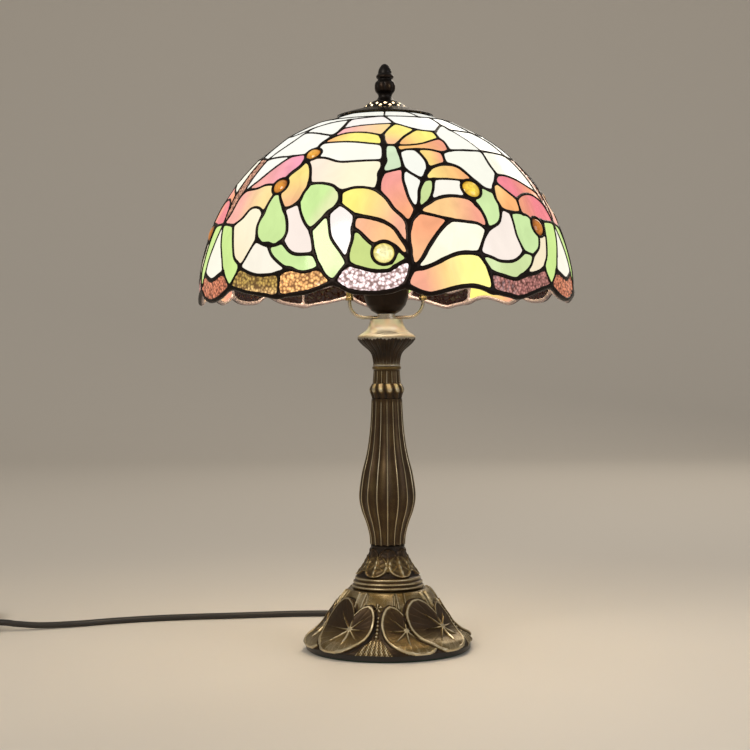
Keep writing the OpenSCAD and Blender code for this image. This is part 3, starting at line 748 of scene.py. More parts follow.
def cut_panes(lines, jewel_reach):
    """Triangles of the flattened dome, and the pane that each belongs to (-1 for none)."""
    points, edges = [], []
    for _, line in lines:
        line = np.array(line)
        head = line[0] + (line[0] - line[1]) * 0.35
        tail = line[-1] + (line[-1] - line[-2]) * 0.35
        run = np.vstack([[head], line, [tail]])
        edges += [(len(points) + i, len(points) + i + 1) for i in range(len(run) - 1)]
        points += [tuple(p) for p in run]
    for centre, size, _, _ in jewel_places():
        turn = np.arange(32) / 32 * 2 * np.pi
        reach = np.linalg.norm(centre)
        out = np.array(centre) / reach
        side = np.array([-out[1], out[0]]) * reach / (90 * math.sin(math.radians(reach)) / 1.5708)
        start = len(points)
        edges += [(start + i, start + (i + 1) % 32) for i in range(32)]
        points += [tuple(np.array(centre) + size * jewel_reach
                         * (math.cos(t) * out + math.sin(t) * side)) for t in turn]
    fixed = np.array(points)
    step = MESH_STEP
    taken = {(round(x / step), round(y / step)) for x, y in fixed}
    for i in range(-76, 77):
        for j in range(-88, 89):
            spot = ((i + 0.5 * (j % 2)) * step, j * step * 0.866)
            reach = math.hypot(*spot)
            cell = (round(spot[0] / step), round(spot[1] / step))
            if 12 < reach < 93 and cell not in taken:
                points.append(spot)
    made = delaunay_2d_cdt([Vector(p) for p in points], edges, [], 0, 1e-7)
    verts, made_edges, faces, _, from_edges, _ = made
    verts = np.array([tuple(v) for v in verts])
    walls = {tuple(sorted(e)) for e, source in zip(made_edges, from_edges) if source}
    faces = np.array([tuple(f) for f in faces if len(f) == 3])
    across = {}
    for number, face in enumerate(faces):
        for a, b in ((face[0], face[1]), (face[1], face[2]), (face[2], face[0])):
            across.setdefault((min(a, b), max(a, b)), []).append(number)
    near = [[] for _ in faces]
    for edge, sides in across.items():
        if len(sides) == 2 and edge not in walls:
            near[sides[0]].append(sides[1])
            near[sides[1]].append(sides[0])
    region = np.full(len(faces), -1)
    count = 0
    for first in range(len(faces)):
        if region[first] >= 0:
            continue
        region[first] = count
        queue = [first]
        while queue:
            for other in near[queue.pop()]:
                if region[other] < 0:
                    region[other] = count
                    queue.append(other)
        count += 1
    return verts, faces, region


def face_at(verts, faces, spot):
    """The triangle that holds a spot of the flattened dome."""
    a, b, c = (verts[faces[:, k]] - spot for k in range(3))
    turns = [p[:, 0] * q[:, 1] - p[:, 1] * q[:, 0] for p, q in ((a, b), (b, c), (c, a))]
    low, high = np.min(turns, axis=0), np.max(turns, axis=0)
    area = np.abs(np.sum(turns, axis=0))
    inside = np.flatnonzero(((low >= -1e-9) | (high <= 1e-9)) & (area > 1e-4))
    return int(inside[0]) if len(inside) else None


def pane_surface(points, triangles):
    """A pane's middle surface: its edge follows the dome and its middle lies almost flat."""
    pairs = np.sort(np.vstack([triangles[:, [0, 1]], triangles[:, [1, 2]], triangles[:, [2, 0]]]),
                    axis=1)
    edges, uses = np.unique(pairs, axis=0, return_counts=True)
    rim = np.unique(edges[uses == 1])
    inner = np.setdiff1d(np.arange(len(points)), rim)
    out = points.mean(0) - (0, 0, DOME_Z)
    out /= np.linalg.norm(out)
    if len(inner):
        size = len(points)
        links = np.zeros((size, size))
        links[edges[:, 0], edges[:, 1]] = links[edges[:, 1], edges[:, 0]] = 1
        balance = np.diag(links.sum(1)) - links
        height = points @ out
        level = np.linalg.solve(balance[np.ix_(inner, inner)],
                                -balance[np.ix_(inner, rim)] @ height[rim])
        points[inner] += PANE_FLATNESS * (level - height[inner])[:, None] * out
    return points, edges[uses == 1]


def pane_solid(flat_points, triangles, settings):
    """Points, faces and inner-side marks of one pane of sheet glass."""
    used, triangles = np.unique(triangles, return_inverse=True)
    triangles = triangles.reshape(-1, 3)
    flat_points = flat_points[used]
    middle, rim = pane_surface(on_dome(flat_points, settings.middle), triangles)
    a, b, c = (middle[triangles[:, k]] for k in range(3))
    facing = np.cross(b - a, c - a)
    if facing.sum(0) @ (middle.mean(0) - (0, 0, DOME_Z)) < 0:
        triangles = triangles[:, ::-1]
        facing = -facing
    normal = np.zeros_like(middle)
    for k in range(3):
        np.add.at(normal, triangles[:, k], facing)
    normal /= np.linalg.norm(normal, axis=1, keepdims=True)
    directed = {(t[i], t[(i + 1) % 3]) for t in triangles.tolist() for i in range(3)}
    rim = [(a, b) if (a, b) in directed else (b, a) for a, b in rim.tolist()]
    inward = np.zeros_like(middle)
    for a, b in rim:
        way = np.cross(normal[a], middle[b] - middle[a])
        way /= max(np.linalg.norm(way), 1e-9)
        inward[a] += way
        inward[b] += way
    reach = np.linalg.norm(inward, axis=1, keepdims=True)
    middle = middle + PANE_LAP * inward / np.maximum(reach, 0.5)
    half = settings.glass / 2
    count = len(middle)
    verts = np.vstack([middle + normal * half, middle - normal * half])
    faces = triangles.tolist() + [[i + count for i in t[::-1]] for t in triangles.tolist()]
    faces += [(b, a, a + count, b + count) for a, b in rim]
    return verts, faces, np.repeat([0.0, 1.0], count), np.vstack([flat_points, flat_points])


def sheet_glass(name, glow, streak_mm, streak):
    """Opalescent sheet glass, rolled: milky and glossy, with soft drawn-out streaks.

    The bulb lights it from behind, so its own tint glows, a little less on the inner side.
    """
    material, tree, surface = new_material(name, roughness=0.12, ior=1.52)
    colour = stored(tree, "tint", "Color")
    wisps = speckle(tree, streak_mm, 4.0, stretch=(1.0, 1.0, 0.45), Roughness=0.55,
                    Distortion=1.2)
    level = spread(tree, wisps, 1.0 - streak, 1.0 + streak * 0.45, 0.3, 0.7)
    feed(surface, {
        "Base Color": blend(tree, 0.82, colour, rgb("#000000")),
        "Emission Color": blend(tree, 1.0, colour, level, "MULTIPLY"),
        "Emission Strength": spread(tree, stored(tree, "inner"), glow, glow * 0.85),
        "Normal": dents(tree, wisps, 0.35, 0.35)})
    return material


def ripple_glass(glow):
    """Ripple glass, pressed by a textured roll: its beads break the light into painted glints.

    It is clear; its inner side is painted nearly black, as painted shade, and hardly glows.
    """
    material, tree, surface = new_material("rolled_ripple_glass", roughness=0.06, ior=1.52)
    colour = stored(tree, "tint", "Color")
    inner = stored(tree, "inner")
    beads = add_node(tree, "ShaderNodeTexVoronoi", {
        "Vector": own_space(tree), "Scale": 1 / (2.3 * MM), "Randomness": 0.9})
    height = maths(tree, "MULTIPLY_ADD", stored(tree, "relief"), -0.35,
                   beads.outputs["Distance"])
    # Painted glints: bright over the beads' middles and dark between them
    level = add_node(tree, "ShaderNodeValToRGB", {"Fac": height}, stops=[
        (0.14, (2.5, 2.45, 2.4)), (0.34, (1.5, 1.45, 1.4)), (0.54, (0.9, 0.8, 0.78)),
        (0.74, (0.22, 0.12, 0.1))])
    mottled = blend(tree, speckle(tree, 9, 2.0), colour, rgb("#8A6A78"), "SOFT_LIGHT")
    feed(surface, {
        # Painted shade: the inner side is painted nearly black
        "Base Color": blend(tree, spread(tree, inner, 0.75, 1.0), colour, rgb("#150604")),
        "Emission Color": blend(tree, 1.0, mottled, level.outputs["Color"], "MULTIPLY"),
        "Emission Strength": spread(tree, inner, glow, glow * 0.01)})
    return material


def patinated_lead():
    """Copper foil with solder run over it: black patina outside, pale solder inside."""
    material, tree, surface = new_material("soldered_foil_black_patina", metallic=0.75)
    grain = speckle(tree, 2.2, 4.0)
    black = blend(tree, grain, rgb("#0B0604"), rgb("#241710"))
    bright = blend(tree, grain, rgb("#7E6C6E"), rgb("#C4B6B8"))
    feed(surface, {"Base Color": blend(tree, stored(tree, "inner"), black, bright),
                   "Roughness": spread(tree, grain, 0.28, 0.5),
                   "Normal": dents(tree, grain, 0.3, 0.4)})
    return material


def pressed_jewel(glow):
    """Pressed amber glass: a glossy dome that glows with painted light from the bulb behind it;
    its stored tint has a painted highlight in its middle and painted shade at its edge.
    """
    material, tree, surface = new_material("pressed_amber_jewel", roughness=0.04, ior=1.52,
                                           coat_weight=0.6)
    colour = stored(tree, "tint", "Color")
    swirl = speckle(tree, 5, 2.0, Distortion=2.0)
    level = spread(tree, swirl, 0.7, 1.15, 0.35, 0.65)
    feed(surface, {"Base Color": blend(tree, 0.7, colour, rgb("#000000")),
                   "Emission Color": blend(tree, 1.0, colour, level, "MULTIPLY"),
                   "Emission Strength": glow * 0.95})
    return material


def pressed_ripple(obj):
    """Cuts the ripple panes finer and presses the roll's texture into them."""
    mesh = obj.data
    bm = bmesh.new()
    bm.from_mesh(mesh)
    bmesh.ops.subdivide_edges(bm, edges=bm.edges[:], cuts=1, use_grid_fill=True)
    bmesh.ops.triangulate(bm, faces=[f for f in bm.faces if len(f.verts) > 4])
    bm.normal_update()
    relief = []
    for vert in bm.verts:
        spot = vert.co / (RIPPLE_MM * MM)
        wave = noise.noise(spot) + 0.5 * noise.noise(spot * 2.1 + Vector((7, 3, 1)))
        relief.append(wave * 0.5)
        vert.co += vert.normal * wave * RIPPLE_DEPTH_MM * MM
    bm.to_mesh(mesh)
    bm.free()
    mesh.shade_smooth()
    paint(obj, "relief", relief)


class LAMP_OT_glass(Operator):
    """Cuts the panes of the dome from six kinds of sheet glass"""
    bl_idname = "lamp.glass"
    bl_label = "Glass panes"

    def execute(self, context):
        settings = context.scene.lamp_shade
        lines, _ = lead_lines()
        jewel_reach = math.degrees((settings.jewel + 0.0002) / settings.middle)
        verts, triangles, region = cut_panes(lines, jewel_reach)
        sheets = {kind: ([], [], [], []) for kind, *_ in PANES}
        taken = set()
        for unit in range(3):
            for kind, spot, first, *second in PANES:
                here = np.array(flat(spot, unit))
                face = face_at(verts, triangles, here)
                if face is None or region[face] in taken:
                    raise RuntimeError(f"the lead lines leave pane {kind} {spot} open")
                taken.add(region[face])
                points, faces, inner, flats = pane_solid(
                    verts, triangles[region == region[face]], settings)
                share = np.zeros(len(points))
                if second:
                    way = np.array(flat(second[0], unit)) - here
                    share = np.clip(((flats - here) @ way) / (way @ way) * 0.9 + 0.05, 0, 1)
                other = np.array(rgb(second[1] if second else first))
                colours = (1 - share[:, None]) * rgb(first) + share[:, None] * other
                all_points, all_faces, all_inner, all_tints = sheets[kind]
                start = sum(len(p) for p in all_points)
                all_points.append(points)
                all_faces += [[start + i for i in f] for f in faces]
                all_inner.append(inner)
                all_tints.append(colours)
        glow = settings.glow
        materials = {
            "white": sheet_glass("opalescent_white_glass", glow * 0.89, 30, 0.06),
            "cream": sheet_glass("opalescent_cream_glass", glow * 0.94, 26, 0.07),
            "green": sheet_glass("opalescent_green_glass", glow * 0.94, 20, 0.12),
            "pink": sheet_glass("streaky_pink_glass", glow, 16, 0.16),
            "peach": sheet_glass("streaky_peach_glass", glow, 16, 0.14),
            "ripple": ripple_glass(glow),
        }
        for kind, (points, faces, inner, colours) in sheets.items():
            obj = new_piece(f"panes_{kind}", np.vstack(points), faces, materials[kind],
                            "shade", replaces=(f"glass_{kind}",), slot=f"glass_{kind}", sharp=40)
            paint(obj, "inner", np.concatenate(inner))
            tint(obj, np.vstack(colours))
            if kind == "ripple":
                pressed_ripple(obj)
        return {"FINISHED"}


class LAMP_OT_jewels(Operator):
    """Sets the pressed amber jewels"""
    bl_idname = "lamp.jewels"
    bl_label = "Jewels"

    def execute(self, context):
        settings = context.scene.lamp_shade
        columns = 40
        widest = 7.8
        outline = [(0, -1.9), (3, -1.85), (5.6, -1.5), (7.1, -0.9), (widest, 0), (7.5, 0.9),
                   (6.4, 2.0), (4.6, 2.9), (2.4, 3.4), (0, 3.6)]
        outline = smooth_curve([np.array(p) for p in outline], 0.6)
        outline[:, 0] *= settings.jewel / (widest * MM)
        outline[0, 0] = outline[-1, 0] = 0
        verts, faces, colours = [], [], []
        for centre, size, bright, dark in jewel_places():
            place = on_dome([centre], settings.middle)[0]
            out, level, up = dome_frame(place)
            start = len(verts)
            for radius, height in outline:
                for j in range(columns):
                    turn = 2 * math.pi * j / columns
                    verts.append(place + MM * (out * height + size * radius * (
                        math.cos(turn) * level + math.sin(turn) * up)))
                    # Painted light and shade: the tint is light in the jewel's middle and lower
                    # side, and dark at its edge and top
                    low = 0.5 + 0.5 * math.sin(turn) * radius / widest
                    share = min(1, max(0, (radius / widest) ** 2 * 0.75 + low * 0.35 - 0.1))
                    colours.append((1 - share) * np.array(rgb(bright))
                                   + share * np.array(rgb(dark)))
            faces += [[start + i for i in f] for f in grid_faces(len(outline), columns)]
        obj = new_piece("jewels", verts, faces, pressed_jewel(settings.glow), "shade",
                        replaces=("glass_jewels",), slot="jewel", sharp=60)
        tint(obj, colours)
        merge_points(obj)
        return {"FINISHED"}


class LAMP_OT_lead(Operator):
    """Runs the lead round every pane and jewel, thick at the joints"""
    bl_idname = "lamp.lead"
    bl_label = "Lead lines"

    def execute(self, context):
        settings = context.scene.lamp_shade
        radius = settings.middle
        jewels = jewel_places()
        jewel_spots = on_dome([jewel[0] for jewel in jewels], radius)
        jewel_radii = settings.jewel * np.array([jewel[1] for jewel in jewels])
        lines, joints = lead_lines()
        verts, faces = [], []

        def add(points, made):
            start = sum(len(v) for v in verts)
            verts.append(points)
            faces.extend([[start + i for i in f] for f in made])

        joint_spots = on_dome([spot for _, spot in joints], radius)
        for width, line in lines:
            path = on_dome(line, radius)
            gap = (np.linalg.norm(path[:, None] - jewel_spots[None], axis=2)
                   - jewel_radii).min(1)
            near = np.linalg.norm(path[:, None] - joint_spots[None], axis=2).min(1)
            swell = 1 + 0.35 * bump(near / 0.006)
            wobble = np.array([noise.noise(Vector(p) * 130) for p in path])
            half = settings.came * width * swell * (1 + 0.12 * wobble)
            keep = gap > -0.0005
            runs = np.split(np.arange(len(path)), np.flatnonzero(np.diff(keep.astype(int))) + 1)
            for run in runs:
                if keep[run[0]] and len(run) > 2:
                    spot = path[run]
                    out = spot - (0, 0, DOME_Z)
                    out /= np.linalg.norm(out, axis=1, keepdims=True)
                    add(*tube_mesh(spot, half[run], settings.bead * (0.9 + 0.1 * width), out))
        for place, reach in zip(jewel_spots, jewel_radii + 0.0009):
            out, level, up = dome_frame(place)
            turn = np.linspace(0, 2 * np.pi, 41)[:, None]
            ring = place + reach * (np.cos(turn) * level + np.sin(turn) * up)
            add(*tube_mesh(ring, 0.0015, settings.bead * 1.05, np.tile(out, (41, 1))))
        for (width, _), place in zip(joints, joint_spots):
            if (np.linalg.norm(jewel_spots - place, axis=1) - jewel_radii).min() < 0.001:
                continue
            ball = bmesh.new()
            bmesh.ops.create_icosphere(ball, subdivisions=2, radius=1.0)
            out = Vector(place - (0, 0, DOME_Z)).normalized()
            turn = out.to_track_quat("Z", "Y").to_matrix()
            size = settings.came * (1.0 + 0.35 * width)
            points = [np.array(turn @ Vector((v.co.x * size, v.co.y * size,
                                              v.co.z * settings.bead * 1.05))) + place
                      for v in ball.verts]
            add(np.array(points), [[v.index for v in f.verts] for f in ball.faces])
            ball.free()
        rough = new_piece("lead_lines", np.vstack(verts), faces, patinated_lead(), "shade",
                          replaces=("shade_came",), slot="lead")
        fuse = rough.modifiers.new("fuse", "REMESH")
        fuse.mode = "VOXEL"
        fuse.voxel_size = LEAD_VOXEL
        soften = rough.modifiers.new("soften", "SMOOTH")
        soften.factor = 0.5
        soften.iterations = 3
        shape = rough.evaluated_get(context.evaluated_depsgraph_get())
        mesh = bpy.data.meshes.new_from_object(shape)
        rough.modifiers.clear()
        mesh.name = "lead_lines"
        mesh.shade_smooth()
        rough.data = mesh
        where = np.zeros(len(mesh.vertices) * 3)
        mesh.vertices.foreach_get("co", where)
        reach = np.linalg.norm(where.reshape(-1, 3) - (0, 0, DOME_Z), axis=1)
        paint(rough, "inner", 1 - step_up(reach, radius - 0.0012, radius + 0.0002))
        return {"FINISHED"}


# ---- Stand -------------------------------------------------------------------

def cast_bronze(settings, name="antique_bronze_paint_on_zinc_casting"):
    """Zinc die casting in antique bronze paint: dark in the recesses, rubbed on high spots.
    It is also lighter where light is painted into its stored value, and darker where shade is.

    A fine orange-peel grain from the sand and the paint breaks up the highlights.
    """
    material, tree, surface = new_material(name)
    grain = speckle(tree, 0.9, 3.0)
    patchy = maths(tree, "MULTIPLY_ADD", speckle(tree, 14, 3.0), 0.34, stored(tree, "wear_and_painted_light"))
    level = maths(tree, "MULTIPLY_ADD", grain, 0.16, patchy)
    ramp = add_node(tree, "ShaderNodeValToRGB", {"Fac": level}, stops=[
        (0.22, settings.recess[:]), (0.55, settings.paint[:]),
        (0.82, rgb("#6C5B38")), (1.0, settings.rubbed[:])])
    feed(surface, {"Base Color": ramp.outputs["Color"],
                   "Metallic": spread(tree, level, 0.5, 0.88, 0.3, 1.0),
                   "Roughness": spread(tree, level, 0.44, 0.28, 0.3, 1.1),
                   "Normal": dents(tree, grain, 0.12, 0.4)})
    return material


def ridge(value, centre, half_width):
    """A rounded ridge across one direction."""
    return bump((value - centre) / half_width)


def flutes(count, depth, ends):
    """Relief of hollow flutes that meet in narrow arrises, which are rubbed bright."""
    def relief(azimuth, place, outline):
        end = place[outline[:, 0] > 10][-1, 0]
        fade = step_up(place, 0.2, ends) * (1 - step_up(place, end - ends, end - 0.2))
        size = np.interp(outline[:, 0], [11, 13, 22.9], [0.6, 0.8, 1.25])[:, None]
        across = np.abs(((azimuth * count / (2 * np.pi)) % 1) * 2 - 1)
        hollow = 1 - across ** 2
        out = -depth * size * hollow ** 0.8 * fade
        arris = step_up(across, 0.8, 0.98)
        wear_and_painted_light = 0.18 + 0.6 * arris * fade + 0.16 * hollow * fade + 0.06 * (1 - fade)
        return out, wear_and_painted_light
    return relief


def gadroons(azimuth, place, outline):
    """Slanted lobes round the collar, with painted light that brightens their upper half."""
    wave = np.abs(np.sin((azimuth * 12 + place * 0.14) / 2)) ** 0.7
    fade = bump((place - 6) / 7.5)
    lit = step_up(outline[:, 1][:, None], 205.5, 208.5)
    return -1.5 * (1 - wave) * fade, 0.1 + (0.2 + 0.6 * lit) * wave ** 2


def vase_relief(azimuth, place, outline):
    """Pointed leaves under the vase's edge and its smooth shoulder: the shoulder, facing the
    bulb above, is painted bright with painted light, and the leaves under the edge are painted
    dark with painted shade, with their veins rubbed brighter and lighter towards the ring below.
    """
    height = outline[:, 1][:, None]
    across = np.abs(((azimuth * 12 / (2 * np.pi)) % 1) - 0.5) * 2
    notch = np.abs(((azimuth * 48 / (2 * np.pi)) % 1) - 0.5) * 2
    tip = 250.9 - 1.0 * notch - 1.2 * across
    below = step_up(tip - height, -0.2, 0.5) * step_up(height, 228.5, 230)
    vein = ridge(across, 0, 0.14) + 0.7 * ridge(across, 0.98, 0.12)
    fine = 0.5 + 0.5 * np.cos(azimuth * 48)
    out = below * (-0.45 - 0.3 * fine + 0.45 * vein)
    # Painted light: the shoulder is painted bright, brightest at its top
    wear_and_painted_light = 0.66 + 0.3 * step_up(height, 252, 254) - 0.03 * height / 250
    # Painted shade: the leaves under the edge are painted dark, lighter towards the ring below
    wear_and_painted_light = wear_and_painted_light * (1 - below) + below * (
        0.03 + 0.12 * vein + 0.06 * fine + 0.3 * (1 - step_up(height, 229, 239)))
    return out, wear_and_painted_light


def leaf(across, up):
    """Height of one pointed leaf: its edge, its midrib and its side veins."""
    half = np.clip(up, 0, 1) ** 0.45 * np.clip(1 - up, 0, 1) ** 0.35 * 1.35
    inside = step_up(half - np.abs(across), 0.0, 0.12) * (up > 0) * (up < 1)
    edge = inside * ridge(np.abs(across), half - 0.14, 0.16)
    veins = 0.35 * inside * (0.5 + 0.5 * np.cos((up * 26 - np.abs(across) * 9)))
    return inside * (0.55 + 0.5 * ridge(across, 0, 0.14)) + 0.45 * edge + 0.5 * veins


def bell_relief(azimuth, place, outline):
    """Three rings, then two rows of veined leaves up the bell, painted darker towards its top
    with painted shade.
    """
    height = outline[:, 1][:, None] * np.ones_like(azimuth)
    turn = azimuth / (2 * np.pi)
    rings = sum(ridge(height, z, 1.5) for z in (51.2, 54.4, 57.6))
    low_row = leaf((((turn * 6) % 1) - 0.5) * 1.45, (height - 59.3) / 16)
    high_row = leaf((((turn * 6 + 0.5) % 1) - 0.5) * 1.4, (height - 63.5) / 18)
    leaves = np.maximum(low_row * 1.15, high_row * 0.9)
    above = step_up(height, 59.0, 59.8)
    out = 0.75 * rings * (1 - above) + above * (1.5 * leaves - 0.6)
    wear_and_painted_light = (1 - above) * (0.22 + 0.5 * rings) + above * (0.06 + 0.48 * leaves)
    # Painted shade: the leaves are painted darker towards the bell's top
    wear_and_painted_light = wear_and_painted_light * (1 - 0.6 * step_up(height, 69, 79) * above)
    return out, np.clip(wear_and_painted_light, 0, 1)


# Flared skin of the base: radius and height, from the rim up
SKIN = [(68.3, 5.6), (68.2, 7.6), (65.4, 11), (61.5, 13.6), (57.5, 16.2), (51.9, 21.8),
        (48.2, 27.6), (44.2, 33.2), (40.5, 38.9), (37.7, 43.4), (33.7, 48), (30, 48.9)]
# Its hollow inside, from the rim up to the hole for the tube
CAVITY = [(60, 5.6), (60, 10), (53, 15), (47, 21), (42, 29), (37, 37), (31, 43),
          (26, 45.6), (5.05, 45.6)]
# Radius of a lily pad against the angle from straight down, and its boss's place up the skin
PAD_EDGE = [(0, 23.6), (45, 26), (90, 25.5), (120, 26.5), (145, 27.5), (155, 26.5),
            (165, 22), (172, 17), (180, 12.7)]
PAD_PLACE = 22.4
# Azimuths: where the first quarter of the pattern starts, and its two pads from there
FIRST_PAD = -10
PAD_OFFSETS = (25.5, 64.5)
# Level of the ground between the castings' high spots, in millimetres, and its wear
GROUND = -0.7
DULL = 0.16


def pad_reach(across, up, gap_side):
    """Distance from a pad's boss, the angle round it and the pad's edge, in millimetres."""
    reach = np.hypot(across, up)
    angle = np.degrees(np.abs(np.arctan2(across, -up)))
    toward = gap_side * across / np.maximum(reach, 0.1)
    return reach, angle, np.interp(angle, *zip(*PAD_EDGE)) * (1 - 0.24 * toward)


def lily_pad(across, up, gap_side):
    """Relief, wear and painted light of one lily pad, and a mask of where it is, from its boss
    in mm.
    """
    reach, angle, edge = pad_reach(across, up, gap_side)
    inside = step_up(edge - reach, -0.3, 0.5)
    rim = ridge(reach, edge - 1.3, 1.5)
    star = np.abs(((angle / 45 + 0.5) % 1) - 0.5) * 45
    vein_half = np.degrees(np.arctan2(np.clip(1.9 - reach * 0.1, 0.35, 2), reach + 0.6))
    veins = ridge(star, 0, vein_half) * (1 - step_up(reach, edge * 0.4, edge * 0.72))
    folds = ridge(((angle / 15 + 0.5) % 1) - 0.5, 0, 0.13) * step_up(reach, 6, 10)
    boss = ridge(reach, 0, 3.1)
    dish = np.clip(1 - (reach / np.maximum(edge, 1)) ** 2, 0, 1)
    out = inside * (0.9 - 1.5 * dish + 1.5 * veins + 0.14 * folds) + 1.15 * rim + 2.0 * boss
    wear_and_painted_light = inside * (0.3 + 0.42 * veins + 0.05 * folds - 0.06 * dish)
    # Painted light: the pad's lower part is painted lighter
    wear_and_painted_light = wear_and_painted_light + 0.5 * rim + 0.4 * boss + 0.1 * inside * step_up(-up, 0, 17)
    return out, wear_and_painted_light, inside


def base_relief(azimuth, place, radius):
    """The cast relief of the base: eight lily pads, their stalks and the buds between.

    azimuth is in radians; place is how far up the skin a point is and radius how far from
    the axis, both in millimetres.
    """
    out = np.full(np.broadcast(azimuth, place).shape, GROUND)
    # Painted light: the skin's upper part is painted lighter
    wear_and_painted_light = DULL + 0.44 * step_up(place, 30, 44) + 0 * out
    turn = np.degrees(azimuth)
    wide = radius * np.pi / 180

    def away(centre):
        return ((turn - centre + 180) % 360) - 180

    up = place - PAD_PLACE
    for k in range(4):
        gap = FIRST_PAD + 90 * k
        side = away(gap) * wide
        low = (1 - step_up(place, 12, 16)) * step_up(3 + (16 - place) * 0.72 - np.abs(side), 0, 1)
        teeth = 0.5 + 0.5 * np.sin(side * 3.1) * np.cos(place * 1.9)
        ray = ridge(((side / (2.2 + (16 - place) * 0.12)) % 1) - 0.5, 0, 0.45)
        out = np.where(low > 0.02, -0.5 + low * (0.55 * ray + 0.45 * teeth), out)
        wear_and_painted_light = np.where(low > 0.02, 0.2 + low * (0.3 * ray + 0.45 * teeth), wear_and_painted_light)
        beads = 0.6 + 0.4 * np.cos((place - 14) * 1.9)
        stalk = ridge(side, 0, 1.8) * step_up(place, 13, 15) * (1 - step_up(place, 34, 36))
        out = np.maximum(out, GROUND + 2.0 * stalk * beads)
        wear_and_painted_light = np.maximum(wear_and_painted_light, DULL + 0.84 * stalk * beads)
        petal_reach = np.hypot(side + 1.5, place - 42)
        petal_angle = np.degrees(np.arctan2(side + 1.5, place - 42))
        petals = (1 - step_up(petal_reach, 2.8, 5.2)) * (0.45 + 0.55 * np.cos(
            np.radians(petal_angle) * 5)) + 0.8 * ridge(petal_reach, 0, 1.5)
        out = np.maximum(out, GROUND + 1.9 * np.clip(petals, 0, 1))
        wear_and_painted_light = np.maximum(wear_and_painted_light, 0.14 + 0.84 * np.clip(petals, 0, 1))
        for lean in (-1, 1):
            path = 8 + (place - 20) * 0.1 + 2.2 * np.sin((place - 22) / 9)
            frond = ridge(side - lean * path, 0, 1.3) * step_up(place, 30, 34) \
                * (1 - step_up(place, 52, 55))
            out = np.maximum(out, GROUND + 1.5 * frond)
            wear_and_painted_light = np.maximum(wear_and_painted_light, DULL + 0.5 * frond)
    for offset, level, gap_side in zip(PAD_OFFSETS, (0.0, 0.55), (-1, 1)):
        for k in range(4):
            centre = FIRST_PAD + offset + 90 * k
            across = away(centre) * wide
            far = np.abs(away(centre)) < 60
            for lean in (-1, 1):
                bend = lean * (2.6 + 0.036 * (place - 36))
                rise = step_up(place, 36.5, 38.5) * (1 - step_up(place, 54, 57))
                stem = ridge(across - bend, 0, 1.25) * rise * far
                out = np.maximum(out, GROUND + 1.9 * stem)
                wear_and_painted_light = np.maximum(wear_and_painted_light, DULL + 0.55 * stem)
            pad, pad_wear_and_painted_light, inside = lily_pad(across, up, gap_side)
            # Painted light: the pads' lower part is painted lighter still
            pad_wear_and_painted_light = pad_wear_and_painted_light + 0.22 * inside * (1 - step_up(place, 6, 28))
            inside = inside * far
            out = np.where(far, out * (1 - inside) + (pad + level) * inside, out)
            wear_and_painted_light = np.where(far, wear_and_painted_light * (1 - inside) + pad_wear_and_painted_light * inside, wear_and_painted_light)
            around, _, edge = pad_reach(across, up, gap_side)
            moat = ridge(around, edge + 0.9, 1.1) * far * (1 - inside)
            out = out - 0.5 * moat
            wear_and_painted_light = wear_and_painted_light * (1 - 0.8 * moat)
    return out, np.clip(wear_and_painted_light, 0, 1)


def scallop(azimuth):
    """How far the rim is drawn in between the pads, in millimetres."""
    turn = np.degrees(azimuth)
    near = np.full(turn.shape, 999.0)
    for k in range(4):
        for offset in PAD_OFFSETS:
            near = np.minimum(near, np.abs(((turn - FIRST_PAD - offset - 90 * k + 180) % 360)
                                           - 180))
    return 1.8 * step_up(near, 13, 22)


